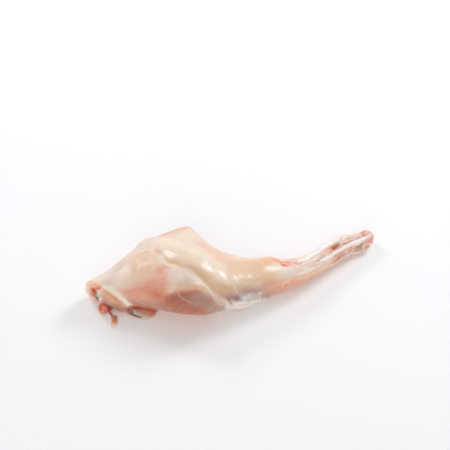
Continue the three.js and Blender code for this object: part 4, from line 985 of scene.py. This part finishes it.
# painted shade in the pit beside the bone end; darker red along the two grooves at the joint end
paint((0.60, 0.20, 0.15), 0.5 * mark([(376, 240.4), (372, 239.6), (368, 240.2)], 0.8) + 0.5 * mark([(368, 229.6), (370.2, 232.6), (370.4, 235)], 0.7) + 0.7 * oval(359, 243.6, 3.0, 2.6, 30, wob=0.4))
paint((0.62, 0.12, 0.08), 0.6 * mark([(333, 260.6), (338, 259.6), (342, 257.4)], 0.9) + 0.6 * mark([(343.6, 256.6), (346.6, 252.6)], 0.7) + 0.5 * mark([(340, 249.4), (346, 247)], 0.6))
paint((0.84, 0.34, 0.20), 0.6 * mark([(366, 248.6), (371, 245.6), (374.6, 240)], 1.3, 0.3, 0.3))
paint((0.95, 0.86, 0.80), 0.7 * mark([(347, 256.8), (350.4, 252.6), (353.6, 249.4)], 0.8) + 0.7 * mark([(337, 262), (343, 258), (347, 254)], 0.6) + 0.7 * oval(368.8, 236, 1.8, 1.4, 30) + 0.7 * mark([(363.2, 243), (363.8, 249)], 0.8))
paint((0.80, 0.28, 0.20), 0.26 * oval(342, 255.4, 5, 2.6, 35))
paint((1.0, 0.60, 0.46), 0.45 * oval(329, 261.2, 5, 2.4, 32, wob=0.6))
blot = grain(20, 2.4, 1.9, 23)
end = patch([(360, 231), (366, 228), (374, 231), (378, 238), (374, 246), (366, 251), (361, 249), (365, 242), (360, 237)], 1.6)
paint((0.94, 0.64, 0.53), 0.65 * end)
paint((0.80, 0.26, 0.14), 0.62 * end * smooth((0.42 - blot) / 0.22))
paint((0.97, 0.86, 0.78), 0.85 * end * smooth((blot - 0.62) / 0.2))
paint((0.98, 0.90, 0.84), 0.9 * oval(368.8, 235.8, 2.2, 1.5, 25, wob=0.4) + 0.7 * mark([(373, 234), (374.6, 237.6)], 0.9, 0.4) + 0.6 * mark([(363, 239.4), (365, 241.6)], 0.8))
paint((0.97, 0.84, 0.79), 0.55 * oval(371, 236.6, 3.0, 2.4, 40, wob=0.4) + 0.5 * oval(368, 245, 2.4, 1.6, 20, wob=0.4) + 0.45 * oval(346, 252, 3.4, 2.0, 30, wob=0.4))
paint((0.90, 0.74, 0.71), 0.6 * mark([(352, 236.4), (357.5, 235.2), (362.5, 235.4)], 1.8))
hock = patch([(318, 256), (330, 247), (340, 240), (356, 233), (368, 228), (377, 234), (376, 245), (366, 251), (354, 254), (340, 263), (328, 268), (322, 262)], 2)
gh, gk = grain(33, 7, 1.2, 21), grain(33, 6, 1.1, 22)
paint((0.96, 0.86, 0.79), 0.75 * smooth((gh - 0.55) / 0.35) * hock)
paint((0.72, 0.20, 0.14), 0.55 * smooth((gk - 0.62) / 0.3) * hock)

# how wet the skin is: glossy where it is smooth and taut, duller over fat and fascia
WET = 0.30 + 0.35 * HID * w1
for area_mask in (0.8 * patch([(157, 246), (170, 245.5), (183, 252), (183, 259), (170, 257.5), (159, 253)], 3.5), patch([(197, 259), (208, 258.5), (215, 265), (214, 273), (205, 272.5), (197, 266)], 3.0),
                  patch([(215.5, 269), (221, 269.5), (228.4, 278), (227.4, 284), (220, 281)], 1.6), 0.9 * patch([(192, 272), (199, 273), (208, 282), (206, 287), (198, 283)], 2.5),
                  0.9 * oval(248.6, 277.8, 3.0, 2.2, 0, wob=0.3), 0.9 * mark([(231.5, 274.5), (234.6, 279), (238, 284.5)], 1.2), 0.9 * mark([(249, 274.6), (252, 277.6), (255, 280)], 0.8),
                  0.9 * mark([(253, 272.6), (256.6, 276), (260, 279.6)], 0.8), 0.75 * oval(271.5, 268.8, 10, 5, 0), patch([(226, 293), (248, 290), (270, 288), (270, 300), (240, 308), (226, 309)], 3),
                  0.9 * patch([(296, 262), (330, 238), (356, 230), (378, 226), (380, 250), (340, 268), (300, 280), (280, 276)], 4),
                  0.5 * patch([(84, 283), (100, 281), (131, 300), (160, 305), (160, 322), (120, 330), (84, 304)], 2.0)):
    WET = np.maximum(WET, area_mask)
WET *= 1 - 0.85 * patch([(122, 306), (134, 306), (158, 308), (158, 314), (146, 320), (130, 317)], 1.5)
WET = np.clip(WET * (1 - 0.6 * np.clip(M["brown"], 0, 1)), 0, 1)
FIRM = both(patch([(84, 284), (104, 284), (132, 303), (160, 305), (160, 322), (120, 330), (84, 310)], 2), patch([(224, 294), (250, 290), (270, 290), (268, 300), (240, 307), (226, 309)], 2.5),
            patch([(326, 262), (330, 240), (356, 230), (378, 226), (380, 250), (340, 268)], 2.5), 0.7 * patch([(268, 257), (292, 258), (308, 264), (304, 272), (284, 269)], 2.5), tip * HID)

NAMES = ("beige", "tan", "peach", "salmon", "brick", "brown", "lilac", "mauve", "milk", "white", "orange", "cherry", "deep", "vein")


# ------------------------------------------------------------------ materials
def new_material(name):
    m = bpy.data.materials.new(name)
    m.use_nodes = True
    nt = m.node_tree
    nt.nodes.clear()
    out = nt.nodes.new("ShaderNodeOutputMaterial")
    bsdf = nt.nodes.new("ShaderNodeBsdfPrincipled")
    nt.links.new(bsdf.outputs[0], out.inputs["Surface"])
    return m, nt, bsdf


class Nodes:
    """Short hand for building node trees."""

    def __init__(self, nt):
        self.nt = nt

    def put(self, sock, value):
        if value is None:
            return
        if hasattr(value, "is_output"):
            self.nt.links.new(value, sock)
        else:
            sock.default_value = value

    def coords(self):
        n = self.nt.nodes.new("ShaderNodeTexCoord")
        return n.outputs["Object"]

    def attribute(self, name):
        n = self.nt.nodes.new("ShaderNodeAttribute")
        n.attribute_type = "GEOMETRY"
        n.attribute_name = name
        return n

    def split(self, v):
        n = self.nt.nodes.new("ShaderNodeSeparateXYZ")
        self.put(n.inputs[0], v)
        return n.outputs

    def scaled(self, v, s):
        n = self.nt.nodes.new("ShaderNodeVectorMath")
        n.operation = "MULTIPLY"
        self.put(n.inputs[0], v)
        n.inputs[1].default_value = s
        return n.outputs[0]

    def noise(self, v, scale, detail=3.0, rough=0.55, distort=0.0):
        n = self.nt.nodes.new("ShaderNodeTexNoise")
        self.put(n.inputs["Vector"], v)
        n.inputs["Scale"].default_value = scale
        n.inputs["Detail"].default_value = detail
        n.inputs["Roughness"].default_value = rough
        n.inputs["Distortion"].default_value = distort
        return n.outputs["Fac"]

    def math(self, op, a, b=None, clamp=False):
        n = self.nt.nodes.new("ShaderNodeMath")
        n.operation = op
        n.use_clamp = clamp
        self.put(n.inputs[0], a)
        self.put(n.inputs[1], b)
        return n.outputs[0]

    def ramp(self, v, a, b, lo=0.0, hi=1.0):
        n = self.nt.nodes.new("ShaderNodeMapRange")
        n.interpolation_type = "SMOOTHSTEP"
        self.put(n.inputs["Value"], v)
        n.inputs["From Min"].default_value = a
        n.inputs["From Max"].default_value = b
        n.inputs["To Min"].default_value = lo
        n.inputs["To Max"].default_value = hi
        return n.outputs["Result"]

    def mix(self, fac, a, b, mode="MIX"):
        n = self.nt.nodes.new("ShaderNodeMix")
        n.data_type = "RGBA"
        n.blend_type = mode
        n.clamp_factor = True
        self.put(n.inputs[0], fac)
        for sock, v in ((n.inputs[6], a), (n.inputs[7], b)):
            self.put(sock, v if hasattr(v, "is_output") else (*v, 1.0))
        return n.outputs[2]

    def grey(self, v):
        n = self.nt.nodes.new("ShaderNodeCombineColor")
        for sock in n.inputs[:3]:
            self.put(sock, v)
        return n.outputs[0]

    def bump(self, height, strength, distance, normal=None):
        n = self.nt.nodes.new("ShaderNodeBump")
        self.put(n.inputs["Height"], height)
        n.inputs["Strength"].default_value = strength
        n.inputs["Distance"].default_value = distance
        if normal is not None:
            self.put(n.inputs["Normal"], normal)
        return n.outputs["Normal"]


CREAM = (0.88, 0.73, 0.58)
BEIGE = (0.84, 0.58, 0.38)
TAN = (0.73, 0.46, 0.28)
PEACH = (0.88, 0.53, 0.33)
SALMON = (0.80, 0.33, 0.20)
BRICK = (0.50, 0.13, 0.07)
BROWN = (0.36, 0.14, 0.10)
ORANGE = (0.72, 0.31, 0.16)
LILAC = (0.55, 0.38, 0.32)
MAUVE = (0.50, 0.29, 0.28)
MILK = (0.86, 0.70, 0.58)
WHITE = (0.95, 0.86, 0.76)
CHERRY = (0.66, 0.12, 0.07)
DEEP = (0.22, 0.035, 0.025)
BLOOD = (0.78, 0.09, 0.05)


def flesh_material():
    m, nt, bsdf = new_material("raw_flesh")
    n = Nodes(nt)
    co = n.coords()
    flow = n.attribute("flow").outputs["Vector"]
    masks = {}
    for i in range(0, 16, 4):
        att = n.attribute("tissue_%d" % (i // 4))
        rgb = n.split(att.outputs["Vector"])
        for name, out in zip(NAMES[i:i + 4], (*rgb[:3], att.outputs["Alpha"])):
            masks[name] = out
    cloudy = n.noise(co, 95.0, 4.0, 0.6)
    fine = n.noise(co, 420.0, 3.0, 0.6)
    streak = n.noise(n.scaled(flow, (0.10, 1.0, 1.0)), 900.0, 3.0, 0.6)
    broken = n.math("ADD", n.math("MULTIPLY", cloudy, 0.9), n.math("MULTIPLY", streak, 0.5))
    broken = n.ramp(broken, 0.40, 0.95, 0.75, 1.2)
    col = CREAM
    order = (("beige", BEIGE, 1), ("tan", TAN, 1), ("peach", PEACH, 1), ("salmon", SALMON, 1), ("brick", BRICK, 1), ("brown", BROWN, 0), ("orange", ORANGE, 1),
             ("lilac", LILAC, 0), ("mauve", MAUVE, 1), ("milk", MILK, 1), ("white", WHITE, 0), ("cherry", CHERRY, 1), ("deep", DEEP, 0), ("vein", BLOOD, 0))
    for name, tint, soft in order:
        fac = n.math("MULTIPLY", masks[name], broken, clamp=True) if soft else masks[name]
        col = n.mix(fac, col, tint)
    # painted details, among them painted shade and painted highlights; the attribute holds tints that are already
    # weighted by their cover
    over = n.attribute("tint")
    cover = n.math("MULTIPLY", over.outputs["Alpha"], n.ramp(broken, 0.75, 1.2, 0.88, 1.0), clamp=True)
    plain = n.mix(1.0, over.outputs["Color"], n.grey(n.math("MAXIMUM", over.outputs["Alpha"], 0.001)), "DIVIDE")
    col = n.mix(cover, col, plain)
    # fibre streaks and marbling
    marble = n.noise(n.scaled(flow, (0.45, 1.0, 1.0)), 210.0, 4.0, 0.62, 0.8)
    even = n.math("SUBTRACT", 1.0, n.math("MAXIMUM", masks["brown"], masks["lilac"]), clamp=True)
    col = n.mix(n.math("MULTIPLY", n.ramp(marble, 0.50, 0.72, 0.0, 0.13), even), col, (0.88, 0.50, 0.36), "MIX")
    col = n.mix(n.math("MULTIPLY", n.ramp(marble, 0.48, 0.28, 0.0, 0.11), even), col, (0.97, 0.86, 0.74), "MIX")
    even = n.math("ADD", n.math("MULTIPLY", even, 0.7), 0.3)
    col = n.mix(n.math("MULTIPLY", n.ramp(streak, 0.35, 0.70, 0.0, 0.10), even), col, (0.95, 0.86, 0.76), "MIX")
    col = n.mix(n.math("MULTIPLY", n.ramp(fine, 0.45, 0.75, 0.0, 0.06), even), col, (0.75, 0.42, 0.32), "MIX")
    nt.links.new(col, bsdf.inputs["Base Color"])
    nt.links.new(n.math("SUBTRACT", 0.35, n.math("MULTIPLY", n.attribute("firm").outputs["Fac"], 0.27)), bsdf.inputs["Subsurface Weight"])
    bsdf.inputs["Subsurface Radius"].default_value = (1.0, 0.38, 0.22)
    bsdf.inputs["Subsurface Scale"].default_value = 0.0035
    rough = n.ramp(n.noise(co, 260.0, 3.0, 0.6), 0.3, 0.7, 0.34, 0.50)
    nt.links.new(rough, bsdf.inputs["Roughness"])
    bsdf.inputs["Specular IOR Level"].default_value = 0.5
    bsdf.inputs["IOR"].default_value = 1.4
    nt.links.new(n.math("MULTIPLY", n.attribute("wet").outputs["Fac"], 0.95), bsdf.inputs["Coat Weight"])
    bsdf.inputs["Coat Roughness"].default_value = 0.17
    bsdf.inputs["Coat IOR"].default_value = 1.36
    b1 = n.bump(n.noise(n.scaled(flow, (0.16, 1.0, 1.0)), 420.0, 2.0, 0.5), 0.09, 0.0004)
    b2 = n.bump(n.noise(co, 230.0, 2.0, 0.5), 0.10, 0.00035, b1)
    nt.links.new(b2, bsdf.inputs["Normal"])
    return m


def pale_material(name, tone, stain, stain_amount, scale=(1, 1, 1)):
    """Bone or sinew: off-white, stained pink, fibrous."""
    m, nt, bsdf = new_material(name)
    n = Nodes(nt)
    co = n.coords()
    flow = n.attribute("flow").outputs["Vector"]
    stain_mask = n.ramp(n.noise(co, 160.0, 4.0, 0.6), 0.42, 0.66, 0.0, stain_amount)
    streak = n.noise(n.scaled(flow, (0.10, 1.0, 1.0)), 1100.0, 3.0, 0.6)
    ends = n.attribute("stain").outputs["Fac"]
    col = n.mix(stain_mask, tone, stain)
    col = n.mix(n.ramp(streak, 0.35, 0.7, 0.0, 0.35), col, tuple(0.88 * c + 0.12 * s for c, s in zip(tone, stain)))
    col = n.mix(ends, col, stain)
    nt.links.new(col, bsdf.inputs["Base Color"])
    bsdf.inputs["Subsurface Weight"].default_value = 0.25
    bsdf.inputs["Subsurface Radius"].default_value = (1.0, 0.5, 0.35)
    bsdf.inputs["Subsurface Scale"].default_value = 0.002
    nt.links.new(n.ramp(n.noise(co, 300.0), 0.3, 0.7, 0.22, 0.4), bsdf.inputs["Roughness"])
    bsdf.inputs["Coat Weight"].default_value = 0.6
    bsdf.inputs["Coat Roughness"].default_value = 0.1
    nt.links.new(n.bump(streak, 0.4, 0.0003), bsdf.inputs["Normal"])
    return m


# --------------------------------------------------------------------- pieces
def add_mesh(name, verts_mm, faces, material, attrs=None, node=None):
    me = bpy.data.meshes.new(name)
    co = to_row(verts_mm).astype(np.float32)
    faces = np.asarray(faces)
    me.vertices.add(len(co))
    me.vertices.foreach_set("co", co.ravel())
    k = faces.shape[1]
    me.loops.add(faces.size)
    me.loops.foreach_set("vertex_index", faces.ravel().astype(np.int32))
    me.polygons.add(len(faces))
    me.polygons.foreach_set("loop_start", np.arange(0, faces.size, k, dtype=np.int32))
    me.polygons.foreach_set("loop_total", np.full(len(faces), k, np.int32))
    me.update(calc_edges=True)
    me.validate()
    me.polygons.foreach_set("use_smooth", np.ones(len(me.polygons), bool))
    for key, (kind, data) in (attrs or {}).items():
        a = me.attributes.new(key, kind, "POINT")
        data = np.asarray(data, np.float32)
        field = {"FLOAT": "value", "FLOAT_VECTOR": "vector", "FLOAT_COLOR": "color"}[kind]
        a.data.foreach_set(field, data.ravel())
    me.materials.append(material)
    o = bpy.data.objects.new(name, me)
    bpy.context.scene.collection.objects.link(o)
    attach(o, "root")
    if node:
        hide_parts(node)
    return o


def tube(points, radii, sides=14, step=1.0, squash=1.0):
    """Closed tube through points: vertices, quads, flow and place along."""
    pts, rad = refine(np.array(points, float), np.array(radii, float), step)
    n = len(pts)
    tan = np.gradient(pts, axis=0)
    tan /= np.linalg.norm(tan, axis=1, keepdims=True)
    ref = np.array([0.0, 0, 1])
    side = np.cross(tan, ref)
    side /= np.linalg.norm(side, axis=1, keepdims=True)
    upv = np.cross(side, tan)
    ang = np.linspace(0, 2 * np.pi, sides, endpoint=False)
    s = np.concatenate([[0], np.cumsum(np.linalg.norm(np.diff(pts, axis=0), axis=1))])
    # round the ends
    r = rad.copy()
    for i in range(n):
        e = min(s[i], s[-1] - s[i])
        if e < rad[i]:
            r[i] = rad[i] * max(0.12, math.sqrt(max(0.0, 1 - (1 - e / rad[i]) ** 2)))
    v = pts[:, None] + r[:, None, None] * (np.cos(ang)[None, :, None] * side[:, None] + squash * np.sin(ang)[None, :, None] * upv[:, None])
    flow = np.stack([np.repeat(s[:, None], sides, 1), np.repeat((ang * rad.mean())[None], n, 0), np.zeros((n, sides))], -1)
    v = v.reshape(-1, 3)
    flow = flow.reshape(-1, 3)
    quads = []
    for i in range(n - 1):
        for j in range(sides):
            a, b = i * sides + j, i * sides + (j + 1) % sides
            quads.append((a, b, b + sides, a + sides))
    caps = [tuple(range(sides))[::-1], tuple((n - 1) * sides + j for j in range(sides))]
    return v, quads, caps, flow / 1000.0, s[:, None].repeat(sides, 1).reshape(-1) / s[-1]


def add_tube(name, points, radii, material, node=None, stain=None, wobble=0.0, seed=1, sides=14, squash=1.0, step=1.0):
    v, quads, caps, flow, along = tube(points, radii, sides=sides, step=step, squash=squash)
    if wobble:
        v = v + wobble * np.stack([waves(v, (7, 4), seed + i) for i in range(3)], 1)
    v[:, 2] = np.maximum(v[:, 2], 0.02)
    me = bpy.data.meshes.new(name)
    me.from_pydata([tuple(p) for p in to_row(v)], [], quads + caps)
    me.validate()
    for p in me.polygons:
        p.use_smooth = True
    for key, kind, data in (("flow", "FLOAT_VECTOR", flow), ("stain", "FLOAT", stain(v, along) if stain else np.zeros(len(v)))):
        a = me.attributes.new(key, kind, "POINT")
        a.data.foreach_set("vector" if kind == "FLOAT_VECTOR" else "value", np.asarray(data, np.float32).ravel())
    me.materials.append(material)
    o = bpy.data.objects.new(name, me)
    bpy.context.scene.collection.objects.link(o)
    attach(o, "root")
    if node:
        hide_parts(node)
    return o


FLESH = flesh_material()
BONE_MAT = pale_material("bare_bone", (1.0, 0.955, 0.885), (0.92, 0.68, 0.58), 0.3)

mid, half, zmid, thick, thin, roll = station(x)
ang = np.arctan2((z - zmid), (y - mid))
rad = np.sqrt((z - zmid) ** 2 + (y - mid) ** 2)
flow = np.stack([x, ang * 14.0, rad], 1) / 1000.0
masks = np.stack([M[k] for k in NAMES] + [np.zeros(len(V))] * (16 - len(NAMES)), 1)
attrs = {"tissue_%d" % i: ("FLOAT_COLOR", masks[:, 4 * i:4 * i + 4]) for i in range(4)}
attrs["flow"] = ("FLOAT_VECTOR", flow)
attrs["tint"] = ("FLOAT_COLOR", TINT)
attrs["wet"] = ("FLOAT", WET)
attrs["firm"] = ("FLOAT", FIRM)
leg = add_mesh("rabbit_leg_flesh", V2, Q, FLESH, attrs, node="leg_meat")

bone = add_tube("shin_bone", BONE, [3.4, 2.9, 2.5, 2.3, 1.9, 1.75, 1.8, 2.15, 2.2, 1.6, 1.25, 1.3], BONE_MAT, node="shank_bone",
                stain=lambda v, a: 0.5 * smooth((a - 0.95) / 0.05) + 0.6 * smooth((0.14 - a) / 0.14), wobble=0.12, seed=4, sides=20, step=0.8)

# ---------------------------------------------------------- floor, light, lens
def stage_mesh(name, verts, faces, material):
    me = bpy.data.meshes.new(name)
    me.from_pydata(verts, [], faces)
    me.materials.append(material)
    o = bpy.data.objects.new(name, me)
    bpy.context.scene.collection.objects.link(o)
    return o


floor_mat, nt, bsdf = new_material("floor")
bsdf.inputs["Base Color"].default_value = (0.95, 0.95, 0.95, 1)
bsdf.inputs["Roughness"].default_value = 0.7
bsdf.inputs["Emission Color"].default_value = (1, 1, 1, 1)
fn = Nodes(nt)
span = nt.nodes.new("ShaderNodeVectorMath")
span.operation = "LENGTH"
nt.links.new(fn.coords(), span.inputs[0])
# the studio light falls off away from the middle, so the floor makes up for it
nt.links.new(fn.ramp(span.outputs["Value"], 0.35, 1.9, 0.07, 0.42), bsdf.inputs["Emission Strength"])
stage_mesh("floor", [(-3, -3, 0), (3, -3, 0), (3, 3, 0), (-3, 3, 0)], [(0, 1, 2, 3)], floor_mat)


def area(name, at_mm, target_mm, size, energy, size_y=None, color=(1, 1, 1)):
    data = bpy.data.lights.new(name, "AREA")
    data.shape = "RECTANGLE"
    data.size = size
    data.size_y = size_y or size
    data.energy = energy
    data.color = color
    o = bpy.data.objects.new(name, data)
    bpy.context.scene.collection.objects.link(o)
    from mathutils import Vector
    a, b = Vector(to_row(at_mm)), Vector(to_row(target_mm))
    o.location = a
    o.rotation_mode = "QUATERNION"
    o.rotation_quaternion = (b - a).to_track_quat("-Z", "Y")
    return o


area("key_right", [580, 540, 640], [0, 0, 15], 0.34, 3.5, color=(0.965, 0.985, 1.05))
area("key_left", [-520, 600, 620], [0, 0, 15], 0.26, 2.2, color=(0.965, 0.985, 1.05))
area("top_soft", [0, 200, 1150], [0, 0, 15], 1.1, 1.55)
area("front_soft", [-250, -900, 720], [0, 0, 15], 1.0, 3.1)

world = bpy.data.worlds.new("studio")
world.use_nodes = True
bg = world.node_tree.nodes.get("Background") or world.node_tree.nodes.new("ShaderNodeBackground")
bg.inputs[0].default_value = (1, 1, 1, 1)
# white studio walls all round, softer light from the ceiling
wn = Nodes(world.node_tree)
sky = wn.split(world.node_tree.nodes.new("ShaderNodeTexCoord").outputs["Generated"])
wn.put(bg.inputs[1], wn.ramp(sky[2], 0.05, 0.50, 0.86, 0.36))
bpy.context.scene.world = world
bpy.context.scene.view_settings.view_transform = "Standard"
bpy.context.scene.view_settings.look = "None"

cam_data = bpy.data.cameras.new("camera")
cam_data.lens = LENS
cam_data.sensor_width = SENSOR
cam_data.clip_start, cam_data.clip_end = 0.05, 20
cam = bpy.data.objects.new("camera", cam_data)
bpy.context.scene.collection.objects.link(cam)
from mathutils import Matrix, Vector
rot = np.array([[CT, -ST, 0], [ST, CT, 0], [0, 0, 1]])
fw, upv = rot @ FWD, rot @ UP
rt = np.cross(fw, upv)
mat = Matrix(((rt[0], upv[0], -fw[0], 0), (rt[1], upv[1], -fw[1], 0), (rt[2], upv[2], -fw[2], 0), (0, 0, 0, 1)))
mat.translation = Vector(to_row(CAM))
cam.matrix_world = mat
bpy.context.scene.camera = cam

bpy.context.view_layer.update()
